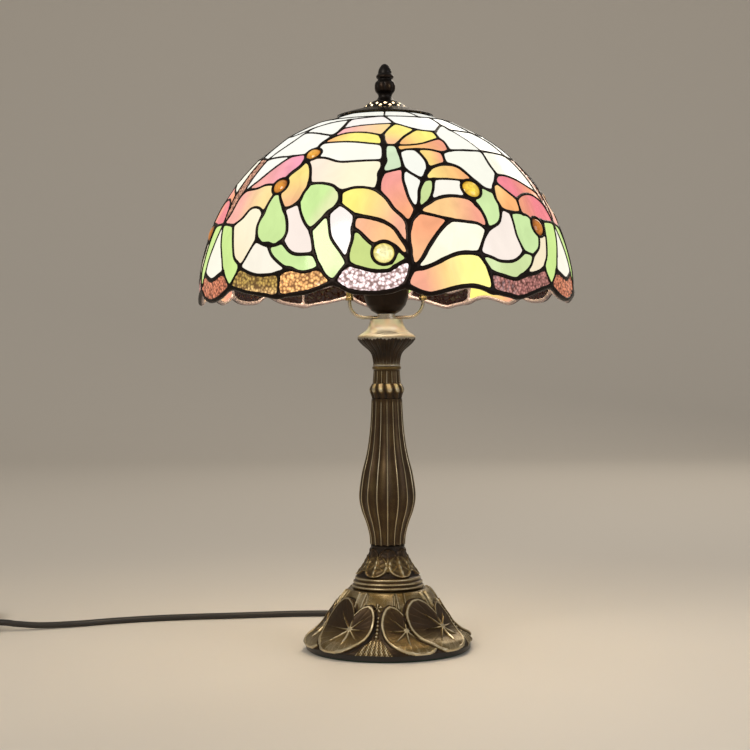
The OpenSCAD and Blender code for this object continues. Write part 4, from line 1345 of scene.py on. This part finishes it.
class LAMP_OT_base(Operator):
    """Casts the base with its lily pads, hollow underneath"""
    bl_idname = "lamp.base"
    bl_label = "Base"

    def execute(self, context):
        columns = 900
        outline = resample(smooth_curve(SKIN[1:], 1.0), 0.42)
        outline = np.vstack([resample(SKIN[:2], 0.7)[:-1], outline])
        steps = np.linalg.norm(np.diff(outline, axis=0), axis=1)
        place = np.concatenate([[0], np.cumsum(steps)])[:, None] - 1.5
        azimuth = (np.arange(columns) / columns * 2 * np.pi)[None, :]
        radius = outline[:, 0][:, None]
        out, wear_and_painted_light = base_relief(azimuth, place, radius)
        along = np.gradient(outline, axis=0)
        normal = np.stack([along[:, 1], -along[:, 0]], 1)
        normal /= np.linalg.norm(normal, axis=1, keepdims=True)
        rim = 1 - step_up(place, -1.2, 0.8)
        top = step_up(place, place[-1, 0] - 4, place[-1, 0] - 0.5)
        out = np.minimum(out * (1 - top) * (1 - 0.75 * rim), 1.6)
        drawn = scallop(azimuth) * (1 - step_up(place, 2, 16))
        radius = np.minimum(radius + normal[:, 0, None] * out - drawn, 69.6)
        height = np.maximum(outline[:, 1][:, None] + normal[:, 1, None] * out, 5.55)
        turn_x, turn_y = np.sin(azimuth), -np.cos(azimuth)
        # The boss that takes the cord stands out at the back
        boss_y, boss_x = radius * turn_y, radius * turn_x
        reach_up = np.sqrt(np.maximum(7.5 ** 2 - boss_x ** 2, 0))
        push = (np.abs(boss_x) < 7.4) & (turn_y > 0) & (height < 11 + reach_up) & (boss_y < 70)
        radius = np.where(push, 70 / np.maximum(turn_y, 0.5), radius)
        wear_and_painted_light = np.where(push, 0.4, wear_and_painted_light)
        verts = np.stack([radius * turn_x, radius * turn_y, height], -1).reshape(-1, 3) * MM
        inner = resample(CAVITY, 1.5)
        inside = np.stack([inner[:, 0, None] * turn_x, inner[:, 0, None] * turn_y,
                           inner[:, 1, None] * np.ones_like(azimuth)], -1).reshape(-1, 3) * MM
        rows, more = len(outline), len(inner)
        faces = grid_faces(rows, columns)
        faces += [tuple(rows * columns + i for i in face[::-1])
                  for face in grid_faces(more, columns)]
        foot, back = 0, rows * columns
        crown, hole = (rows - 1) * columns, (rows + more - 1) * columns
        for j in range(columns):
            k = (j + 1) % columns
            faces.append((foot + k, foot + j, back + j, back + k))
            faces.append((crown + j, crown + k, hole + k, hole + j))
        settings = context.scene.lamp_stand
        obj = new_piece("lily_pad_base", np.vstack([verts, inside]), faces,
                        cast_bronze(settings), "root", replaces=("base_casting",),
                        slot="bronze", sharp=50)
        paint(obj, "wear_and_painted_light", np.concatenate([wear_and_painted_light.ravel(), np.full(more * columns, 0.3)]))
        return {"FINISHED"}


class LAMP_OT_stem(Operator):
    """Turns the stem's castings: bell, reeded stem, collar, fluted neck, ring and vase"""
    bl_idname = "lamp.stem"
    bl_label = "Stem"

    def execute(self, context):
        settings = context.scene.lamp_stand
        bronze = cast_bronze(settings)
        # The vase's shoulder takes paler and greyer colours: painted light from the bulb above it
        bulb_lit_bronze = cast_bronze(settings, "antique_bronze_paint_with_painted_bulb_light")
        recolour(bulb_lit_bronze, 2, ("#8A8272", "#D0CCC2"))
        for name, node, relief, columns, step, outline in (
                ("bell", "bell_casting", bell_relief, 420, 0.3,
                 [(5.05, 49), (28, 49), (28.4, 49.6), (28.4, 51), (27.6, 52.6), (27.4, 54.2),
                  (26.4, 56.4), (24.9, 59.3), (22.7, 62.7), (19.3, 67.4), (16.2, 73),
                  (14.3, 77.4), (14.2, 83.9), (5.05, 84)]),
                ("fluted_shaft", "reeded_stem", flutes(settings.reeds, 1.15, 6), 480, 0.8,
                 [(5.05, 84), (14.2, 84.05), (14.9, 92.1), (17.3, 101.3), (21.3, 112.6),
                  (22.9, 124), (20.7, 140.9), (17.5, 153.8), (15.3, 165.1), (13.9, 176.4),
                  (13, 187.7), (12.5, 199), (12.2, 201.9), (5.05, 202)]),
                ("gadrooned_collar", "gadroon_collar", gadroons, 288, 0.35,
                 [(5.05, 202), (12.2, 202.05), (12.9, 204.7), (14.2, 208.5), (13.6, 211),
                  (11.8, 213.9), (5.05, 214)]),
                ("fluted_throat", "fluted_neck", flutes(settings.reeds, 0.9, 1.8), 320, 0.5,
                 [(5.05, 214), (11.4, 214.05), (11, 218.8), (10.6, 224.9), (5.05, 225)]),
                ("throat_ring", "neck_ring", None, 96, 0.4,
                 [(5.05, 225), (10.7, 225.05), (11.4, 225.5), (11.7, 226.5), (11.4, 227.5),
                  (11, 227.9), (5.05, 228)]),
                ("leafed_vase", "vase_cup", vase_relief, 420, 0.35,
                 [(5.05, 228), (11, 228.05), (11.5, 232), (12.4, 236.6), (14.4, 239.9),
                  (17.4, 242.6), (20.4, 245.2), (22.5, 247.6), (23.4, 250), (23.1, 251.9),
                  (21.4, 253.5), (18.2, 255.6), (15.4, 258.4), (13.9, 261.6), (13, 265.6),
                  (12.6, 265.75), (5.05, 265.8)])):
            flat_ends = outline[1:-1]
            body = smooth_curve(flat_ends, 1.2)
            metal = bulb_lit_bronze if node == "vase_cup" else bronze
            revolve(name, [outline[0], *body, outline[-1]], metal, "root", columns=columns,
                    relief=level_ends(relief), step=step, cap=False, replaces=(node,),
                    slot="bronze", sharp=50)
        return {"FINISHED"}


def level_ends(relief):
    """Keeps a casting's flat ends flat: the relief is for its outside only."""
    def outside(azimuth, place, outline):
        if relief is None:
            shape = (len(place), azimuth.shape[1])
            return np.zeros(shape), np.full(shape, 0.5)
        face = np.flatnonzero(outline[:, 0] > 8)
        first, last = face[0], face[-1]
        skin = np.clip(place - place[face[np.argmax(outline[face, 0] > 10)], 0], 0, None)
        out, wear_and_painted_light = relief(azimuth, skin, outline)
        rows = np.arange(len(outline))[:, None]
        keep = (rows >= first) & (rows <= last) & (outline[:, 0, None] > 10)
        return np.where(keep, out, 0), wear_and_painted_light
    return outside


# ---- Hardware ----------------------------------------------------------------

def plain_metal(name, low, high, roughness, metallic=1.0, grain_mm=0.6, brushed=1.0,
                relief=0.15):
    """A metal surface: two close colours in a fine grain, drawn out if it was turned."""
    material, tree, surface = new_material(name, metallic=metallic)
    grain = speckle(tree, grain_mm, 4.0, stretch=(1.0, 1.0, brushed))
    feed(surface, {"Base Color": blend(tree, grain, rgb(low), rgb(high)),
                   "Roughness": spread(tree, grain, roughness * 0.8, roughness * 1.25),
                   "Normal": dents(tree, grain, 0.08, relief)})
    return material


def plain_matter(name, low, high, roughness, grain_mm, relief_mm, strength=0.3, **values):
    """A surface that isn't metal: two close colours, and a grain that breaks its sheen."""
    material, tree, surface = new_material(name, roughness=roughness, **values)
    grain = speckle(tree, grain_mm, 4.0)
    feed(surface, {"Base Color": blend(tree, grain, rgb(low), rgb(high)),
                   "Normal": dents(tree, grain, relief_mm, strength)})
    return material


def lit_bulb_glass(settings):
    """Thin blown glass with a soft white coat inside: it glows warm when the lamp is lit."""
    material, tree, surface = new_material("blown_frosted_bulb_glass", roughness=0.25, ior=1.5)
    shade = blend(tree, speckle(tree, 20, 2.0), settings.warmth[:], rgb("#FFF0CC"))
    feed(surface, {"Base Color": shade, "Emission Color": shade, "Emission Strength": 3.0})
    return material


# Vent holes in each of the cap's two rows, their radius, and how far from the axis the cap's
# underside takes painted light from below, in millimetres
VENTS = 14
VENT_RADIUS = 1.25
VENT_LIT_REACH = 21


def vent_cap_bronze(settings):
    """Spun steel in oil-rubbed bronze. Near its middle the underside is painted pale and glowing:
    painted light from the bulb below.

    That painted light shows through the small vent holes as points of light.
    """
    material = plain_metal("oil_rubbed_bronze_on_vented_cap", "#0D0805", "#1E150D", 0.34,
                           metallic=0.75, brushed=0.2)
    tree = material.node_tree
    surface = tree.nodes["Principled BSDF"]
    place = add_node(tree, "ShaderNodeNewGeometry")
    faces = add_node(tree, "ShaderNodeSeparateXYZ", {"Vector": place.outputs["True Normal"]})
    flat_place = add_node(tree, "ShaderNodeVectorMath", {
        0: place.outputs["Position"], 1: (1, 1, 0)}, operation="MULTIPLY")
    reach = add_node(tree, "ShaderNodeVectorMath", {0: flat_place.outputs["Vector"]},
                     operation="LENGTH")
    under = maths(tree, "MULTIPLY",
                  maths(tree, "LESS_THAN", faces.outputs["Z"], -0.2),
                  maths(tree, "LESS_THAN", reach.outputs["Value"], VENT_LIT_REACH * MM))
    top_colour = surface.inputs["Base Color"].links[0].from_socket
    # Painted light: there the underside is painted pale and made to glow
    feed(surface, {"Base Color": blend(tree, under, top_colour, rgb("#D8C8A8")),
                   "Emission Color": settings.warmth[:],
                   "Emission Strength": maths(tree, "MULTIPLY", under, 1.5)})
    return material


def finish_nodes(material, *names, bevel_mm=0.0):
    """Gives CAD nodes a material, and rounds their edges if a bevel is asked for."""
    for name in names:
        obj = NODES[name]
        set_material(obj, material)
        if bevel_mm:
            bevel = obj.modifiers.new("rounded_edges", "BEVEL")
            bevel.width = bevel_mm * MM
            bevel.segments = 3
            bevel.limit_method = "ANGLE"
            bevel.angle_limit = math.radians(40)
            bevel.harden_normals = False


class LAMP_OT_lampholder(Operator):
    """Fits the lampholder, the harp and the metal parts inside the stand"""
    bl_idname = "lamp.lampholder"
    bl_label = "Lampholder and harp"

    def execute(self, context):
        nickel = plain_metal("drawn_nickel_plated_steel", "#A79F90", "#DCD4C2", 0.24)
        brass = plain_metal("lacquered_drawn_brass", "#9C8450", "#CFBB8C", 0.26)
        steel = plain_metal("stamped_zinc_plated_steel", "#83837E", "#B2B1AA", 0.38)
        iron = plain_metal("rough_cast_iron", "#2A2826", "#4A4642", 0.62, grain_mm=1.5,
                           relief=0.8)
        dark = plain_metal("oil_rubbed_bronze_on_spun_steel", "#140D07", "#2E2014", 0.36,
                           metallic=0.75, brushed=0.2)
        porcelain = plain_matter("glazed_porcelain", "#E6E0D2", "#F3EEE4", 0.16, 3, 0.05,
                                 coat_weight=0.4)
        # The foot ring under the base's overhanging rim is plain black all over
        black = plain_matter("satin_black_on_foot_ring", "#0C0806", "#17100B", 0.42, 1.4,
                             0.2, strength=0.5)
        felt = plain_matter("pressed_green_wool_felt", "#12281A", "#24442E", 0.95, 0.7, 0.6,
                            strength=0.9, sheen_weight=0.4)
        rubber = plain_matter("rubber_insulated_wire", "#141210", "#24211E", 0.55, 0.8, 0.1)
        finish_nodes(nickel, "harp_saddle", "saddle_nut", "tube_washer", bevel_mm=0.25)
        finish_nodes(nickel, "bulb_cap")
        finish_nodes(brass, "threaded_tube", "tube_nut", "harp_stud", "harp_sleeve_left",
                     "harp_sleeve_right", "finial_insert", "crown_ring", bevel_mm=0.2)
        finish_nodes(brass, "socket_thread", "socket_contact", "bulb_contact")
        finish_nodes(steel, "bottom_plate", bevel_mm=0.3)
        finish_nodes(iron, "base_weight", bevel_mm=1.2)
        finish_nodes(porcelain, "socket_insulator", bevel_mm=0.4)
        finish_nodes(dark, "socket_shell", bevel_mm=0.15)
        finish_nodes(black, "foot_ring", bevel_mm=0.6)
        finish_nodes(felt, "felt_pad")
        finish_nodes(rubber, "inner_lead")
        cup = [(5.05, 273.6), (11.4, 273.6), (14.6, 277.7), (16, 281), (17, 284),
               (17, 289.5), (18.5, 289.5), (18.3, 286.5), (17.6, 283), (15.6, 277),
               (12, 272.5), (7.5, 270.05), (5.05, 270)][::-1]
        revolve("holder_cup", cup, dark, "root", step=0.8, cap=False,
                replaces=("socket_cup",), slot="dark_bronze", sharp=45)
        half = [(29.6, 286), (29.6, 297), (29.6, 307), (30, 311), (33.5, 321), (40, 333),
                (45.5, 346), (48, 360), (47, 377), (42.5, 394), (34, 410), (23, 423),
                (11, 432), (0, 435)]
        bow = [(x, 0, z) for x, z in half] + [(-x, 0, z) for x, z in half[-2::-1]]
        path = smooth_curve(bow, 2.0) * MM
        points, faces = tube_mesh(path, 1.5 * MM, 1.5 * MM, (0, 1, 0), sides=20)
        new_piece("harp_wire", points, faces, brass, "root", replaces=("harp_bow",),
                  slot="brass")
        return {"FINISHED"}


class LAMP_OT_bulb(Operator):
    """Blows the bulb and lights it"""
    bl_idname = "lamp.bulb"
    bl_label = "Bulb"

    def execute(self, context):
        settings = context.scene.lamp_bulb
        low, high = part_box("bulb_glass")
        reach = (high.x - low.x) / 2 / MM
        middle = high.z / MM - reach
        foot = low.z / MM
        round_top = [(reach * math.cos(a), middle + reach * math.sin(a))
                     for a in np.radians(np.arange(-28, 90, 7))]
        outline = [(0.02, foot), (reach - 17, foot), (reach - 16, foot + 8),
                   (reach - 13, foot + 17), (reach - 7.5, foot + 27), *round_top,
                   (0.02, middle + reach)]
        outline = [outline[0], *smooth_curve(outline[1:], 1.2)]
        bulb = revolve("lit_bulb", outline, lit_bulb_glass(settings), "bulb", step=1.5,
                       cap=False, replaces=("bulb_glass",), slot="bulb_glass", sharp=60)
        bulb.visible_shadow = False
        glowing, _, surface = new_material("glowing_led_filament", roughness=0.5)
        surface.inputs["Base Color"].default_value = rgb("#F6D48A")
        surface.inputs["Emission Color"].default_value = settings.warmth[:]
        surface.inputs["Emission Strength"].default_value = 6.0
        set_material(NODES["bulb_filament"], glowing)
        data = bpy.data.lights.new("bulb_light", "POINT")
        data.energy = settings.power
        data.color = settings.warmth[:3]
        data.shadow_soft_size = 0.026
        light = bpy.data.objects.new("bulb_light", data)
        light.location = (0, 0, middle * MM)
        context.scene.collection.objects.link(light)
        return {"FINISHED"}


def finial_relief(azimuth, place, outline):
    """Leaves cut into the finial's ball, and its rubbed rings."""
    height = outline[:, 1][:, None]
    ball = bump((height - 452.5) / 6.2)
    wave = np.abs(np.sin(azimuth * 4 + (height - 452.5) * 0.12)) ** 0.7
    outside = outline[:, 0, None] > 4.3
    out = -0.8 * ball * (1 - wave) * outside
    wear_and_painted_light = 0.28 + 0.3 * ball * wave + 0.25 * bump((height - 460.8) / 1.6)
    return out, wear_and_painted_light * np.ones_like(azimuth)


class LAMP_OT_cap(Operator):
    """Spins the cap that covers the dome's crown, and drills its two rows of vent holes"""
    bl_idname = "lamp.cap"
    bl_label = "Vented cap"

    def execute(self, context):
        inner = [(3.3, 438.7), (11, 438.65), (13.4, 438), (16.9, 434.9), (18.5, 433.9),
                 (20.4, 433.3), (24.8, 432.3), (31, 430.7), (36, 429.2), (38.3, 428.5)]
        outer = [(38.6, 429.2), (36.2, 430.1), (31.2, 431.6), (25, 433.3), (20.6, 434.2),
                 (18.9, 434.8), (17.6, 435.8), (14.6, 438.5), (13.2, 439.2), (11, 439.6),
                 (3.3, 439.7), (3.3, 438.7)]
        cap = revolve("vented_cap", inner + list(smooth_curve(outer[:10], 0.8)) + outer[10:],
                      vent_cap_bronze(context.scene.lamp_bulb), "shade", columns=168,
                      step=0.9, cap=False, replaces=("vent_cap",), slot="dark_bronze",
                      sharp=30)
        merge_points(cap)
        drills = bmesh.new()
        for row, (radius, height) in enumerate(((15.3, 437.9), (17.4, 436))):
            for k in range(VENTS):
                turn = Matrix.Rotation(2 * math.pi * (k + row / 2) / VENTS, 4, "Z")
                lean = Matrix.Rotation(math.radians(48), 4, "X")
                place = Matrix.Translation(Vector((0, -radius, height)) * MM)
                bmesh.ops.create_cone(drills, cap_ends=True, segments=20, depth=6 * MM,
                                      radius1=VENT_RADIUS * MM, radius2=VENT_RADIUS * MM,
                                      matrix=turn @ place @ lean)
        cutter_mesh = bpy.data.meshes.new("drills")
        drills.to_mesh(cutter_mesh)
        drills.free()
        cutter = bpy.data.objects.new("drills", cutter_mesh)
        context.scene.collection.objects.link(cutter)
        cut = cap.modifiers.new("vents", "BOOLEAN")
        cut.object = cutter
        cut.solver = "EXACT"
        context.view_layer.update()
        drilled = cap.evaluated_get(context.evaluated_depsgraph_get())
        cap.data = bpy.data.meshes.new_from_object(drilled)
        cap.modifiers.clear()
        bpy.data.objects.remove(cutter)
        return {"FINISHED"}


class LAMP_OT_finial(Operator):
    """Turns the finial that screws the shade down"""
    bl_idname = "lamp.finial"
    bl_label = "Finial"

    def execute(self, context):
        settings = context.scene.lamp_stand
        outside = [(10.3, 439.85), (10.2, 440.6), (7.6, 441.7), (5.8, 443.6), (5.4, 445.3),
                   (6.1, 447.1), (7.9, 449.2), (8.6, 452.5), (7.9, 455.8), (6.2, 457.6),
                   (5.7, 458.6), (6.6, 459.6), (7.1, 460.8), (6.6, 462), (5.7, 463.1),
                   (5.4, 465), (4.6, 467.3), (2.9, 469.9), (1.4, 470.9), (0.02, 471.2)]
        outline = [(0.02, 453.2), (4.2, 453.2), (4.2, 439.8),
                   *smooth_curve(outside, 0.7)]
        bronze = cast_bronze(settings, "dark_bronze_paint_on_turned_zinc")
        recolour(bronze, 0, ("#070402", "#120B06", "#2A1C10", "#7A6644"))
        revolve("turned_finial", outline, bronze, "finial", columns=160,
                relief=finial_relief, step=0.4, cap=False, replaces=("finial",),
                slot="dark_bronze", sharp=50)
        return {"FINISHED"}


class LAMP_OT_fittings(Operator):
    """Finishes the cord's ribbed gland, the switch, the plug and the coil's tie"""
    bl_idname = "lamp.fittings"
    bl_label = "Cord fittings"

    def execute(self, context):
        plastic = plain_matter("moulded_black_abs", "#131110", "#1D1A18", 0.36, 0.5, 0.06,
                               strength=0.4)
        pale = plain_matter("moulded_dark_grey_abs", "#262321", "#322E2B", 0.32, 0.5, 0.05,
                            strength=0.4)
        screw = plain_metal("zinc_plated_screws", "#8B8B86", "#B8B8B2", 0.3)
        brass = plain_metal("turned_nickel_plated_pins", "#B7AF9C", "#E0D9C6", 0.2)
        finish_nodes(plastic, "switch_bottom", "switch_top", bevel_mm=0.9)
        finish_nodes(plastic, "plug_body", bevel_mm=1.2)
        finish_nodes(pale, "switch_rocker", bevel_mm=0.4)
        finish_nodes(screw, "switch_screws", bevel_mm=0.2)
        finish_nodes(brass, "plug_pins", bevel_mm=0.6)
        gland = [(0.02, 62), (4.45, 62), (4.45, 70), (6.3, 70), (6.4, 71.6), (5.5, 73.2)]
        for k in range(6):
            foot = 74.4 + 3.4 * k
            wide = 5.3 - 0.24 * k
            gland += [(wide - 1.1, foot), (wide - 1.1, foot + 1.1), (wide, foot + 1.5),
                      (wide, foot + 2.9)]
        gland += [(3.4, 95.4), (3.1, 96), (0.02, 96)]
        rubber = plain_matter("moulded_pvc_strain_relief", "#12100E", "#1E1B18", 0.48, 0.6,
                              0.08, strength=0.4)
        sleeve = revolve("ribbed_gland", gland, rubber, "root", columns=48, step=0.7,
                         cap=False, replaces=("cord_grommet",), slot="black_plastic",
                         sharp=35)
        sleeve.data.transform(Matrix.Translation((0, 0, 0.011))
                              @ Matrix.Rotation(-math.pi / 2, 4, "X"))
        low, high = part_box("cord_coil")
        centre = (low + high) / 2
        middle, half = 30.4, 11.9
        tie = [(middle + half * x, z) for x, z in (
            (-1, 6), (-0.97, 10.5), (-0.7, 12.15), (0, 12.25), (0.7, 12.15), (0.97, 10.5),
            (1, 6), (0.97, 1.6), (0.7, 0.3), (0, 0.26), (-0.7, 0.3), (-0.97, 1.6), (-1, 6))]
        angle = math.radians(-38)
        path = [((centre.x / MM + r * math.cos(angle)), centre.y / MM + r * math.sin(angle), z)
                for r, z in tie]
        path = smooth_curve(path, 1.0) * MM
        along = (-math.sin(angle), math.cos(angle), 0)
        points, faces = tube_mesh(path, 0.26 * MM, 1.6 * MM, along, sides=12)
        new_piece("coil_tie", points, faces, plastic, "root", slot="black_plastic")
        return {"FINISHED"}


# ---- Stage -------------------------------------------------------------------

class LAMP_OT_stage(Operator):
    """Lays the pale floor and sets the soft lights"""
    bl_idname = "lamp.stage"
    bl_label = "Stage"

    def execute(self, context):
        settings = context.scene.lamp_stage
        scene = context.scene
        scene.view_settings.view_transform = "Standard"
        material, _, surface = new_material("matt_paper_floor", roughness=0.55)
        surface.inputs["Base Color"].default_value = settings.floor[:]
        half_width, back, bend, top = 9, 2.2, 1.2, 5
        sweep = [(-half_width, 0)]
        sweep += [(back + bend * math.sin(a), bend - bend * math.cos(a))
                  for a in np.linspace(0, math.pi / 2, 17)]
        sweep.append((back + bend, top))
        mesh = bpy.data.meshes.new("floor")
        mesh.from_pydata([(x, y, z) for y, z in sweep for x in (-half_width, half_width)], [],
                         grid_faces(len(sweep), 2, wrap=False))
        mesh.shade_smooth()
        floor = bpy.data.objects.new("floor", mesh)
        scene.collection.objects.link(floor)
        set_material(floor, material)
        world = bpy.data.worlds.new("studio")
        world.use_nodes = True
        scene.world = world
        air = world.node_tree.nodes["Background"]
        air.inputs["Color"].default_value = rgb("#F4EEE6")
        air.inputs["Strength"].default_value = settings.ambient
        for name, place, size, power, colour in (
                ("key", (-1.1, -1.5, 1.3), 0.9, 17.0, "#FFF6EA"),
                ("fill", (1.7, -1.2, 0.9), 1.2, 8.0, "#F2F4FF"),
                ("back", (0.7, 1.8, 1.4), 1.0, 9.0, "#FFF2E0")):
            data = bpy.data.lights.new(name, "AREA")
            data.energy = power
            data.size = size
            data.color = rgb(colour)[:3]
            light = bpy.data.objects.new(name, data)
            light.location = place
            aim = Vector((0, 0, 0.22)) - Vector(place)
            light.rotation_euler = aim.to_track_quat("-Z", "Y").to_euler()
            scene.collection.objects.link(light)
        return {"FINISHED"}


# ---- Add-on ------------------------------------------------------------------

OPERATORS = [
    LAMP_OT_camera, LAMP_OT_cord, LAMP_OT_glass, LAMP_OT_jewels, LAMP_OT_lead, LAMP_OT_base,
    LAMP_OT_stem, LAMP_OT_lampholder, LAMP_OT_bulb, LAMP_OT_cap, LAMP_OT_finial,
    LAMP_OT_fittings, LAMP_OT_stage,
]


class LAMP_PT_panel(Panel):
    """Lists the lamp's pieces in the order in which they are built"""
    bl_idname = "LAMP_PT_panel"
    bl_label = "Leaded Glass Table Lamp"
    bl_space_type = "VIEW_3D"
    bl_region_type = "UI"
    bl_category = "Table Lamp"

    def draw(self, context):
        column = self.layout.column(align=True)
        for operator in OPERATORS:
            column.operator(operator.bl_idname)


def register():
    for made in (*SETTINGS.values(), *OPERATORS, LAMP_PT_panel):
        bpy.utils.register_class(made)
    for name, group in SETTINGS.items():
        setattr(bpy.types.Scene, name, PointerProperty(type=group))


def unregister():
    for name in SETTINGS:
        delattr(bpy.types.Scene, name)
    for made in (LAMP_PT_panel, *OPERATORS[::-1], *SETTINGS.values()):
        bpy.utils.unregister_class(made)


def main():
    """Builds every piece in order."""
    register()
    for operator in OPERATORS:
        step = operator.bl_idname.split(".")[1]
        getattr(bpy.ops.lamp, step)()


if __name__ == "__main__":
    main()
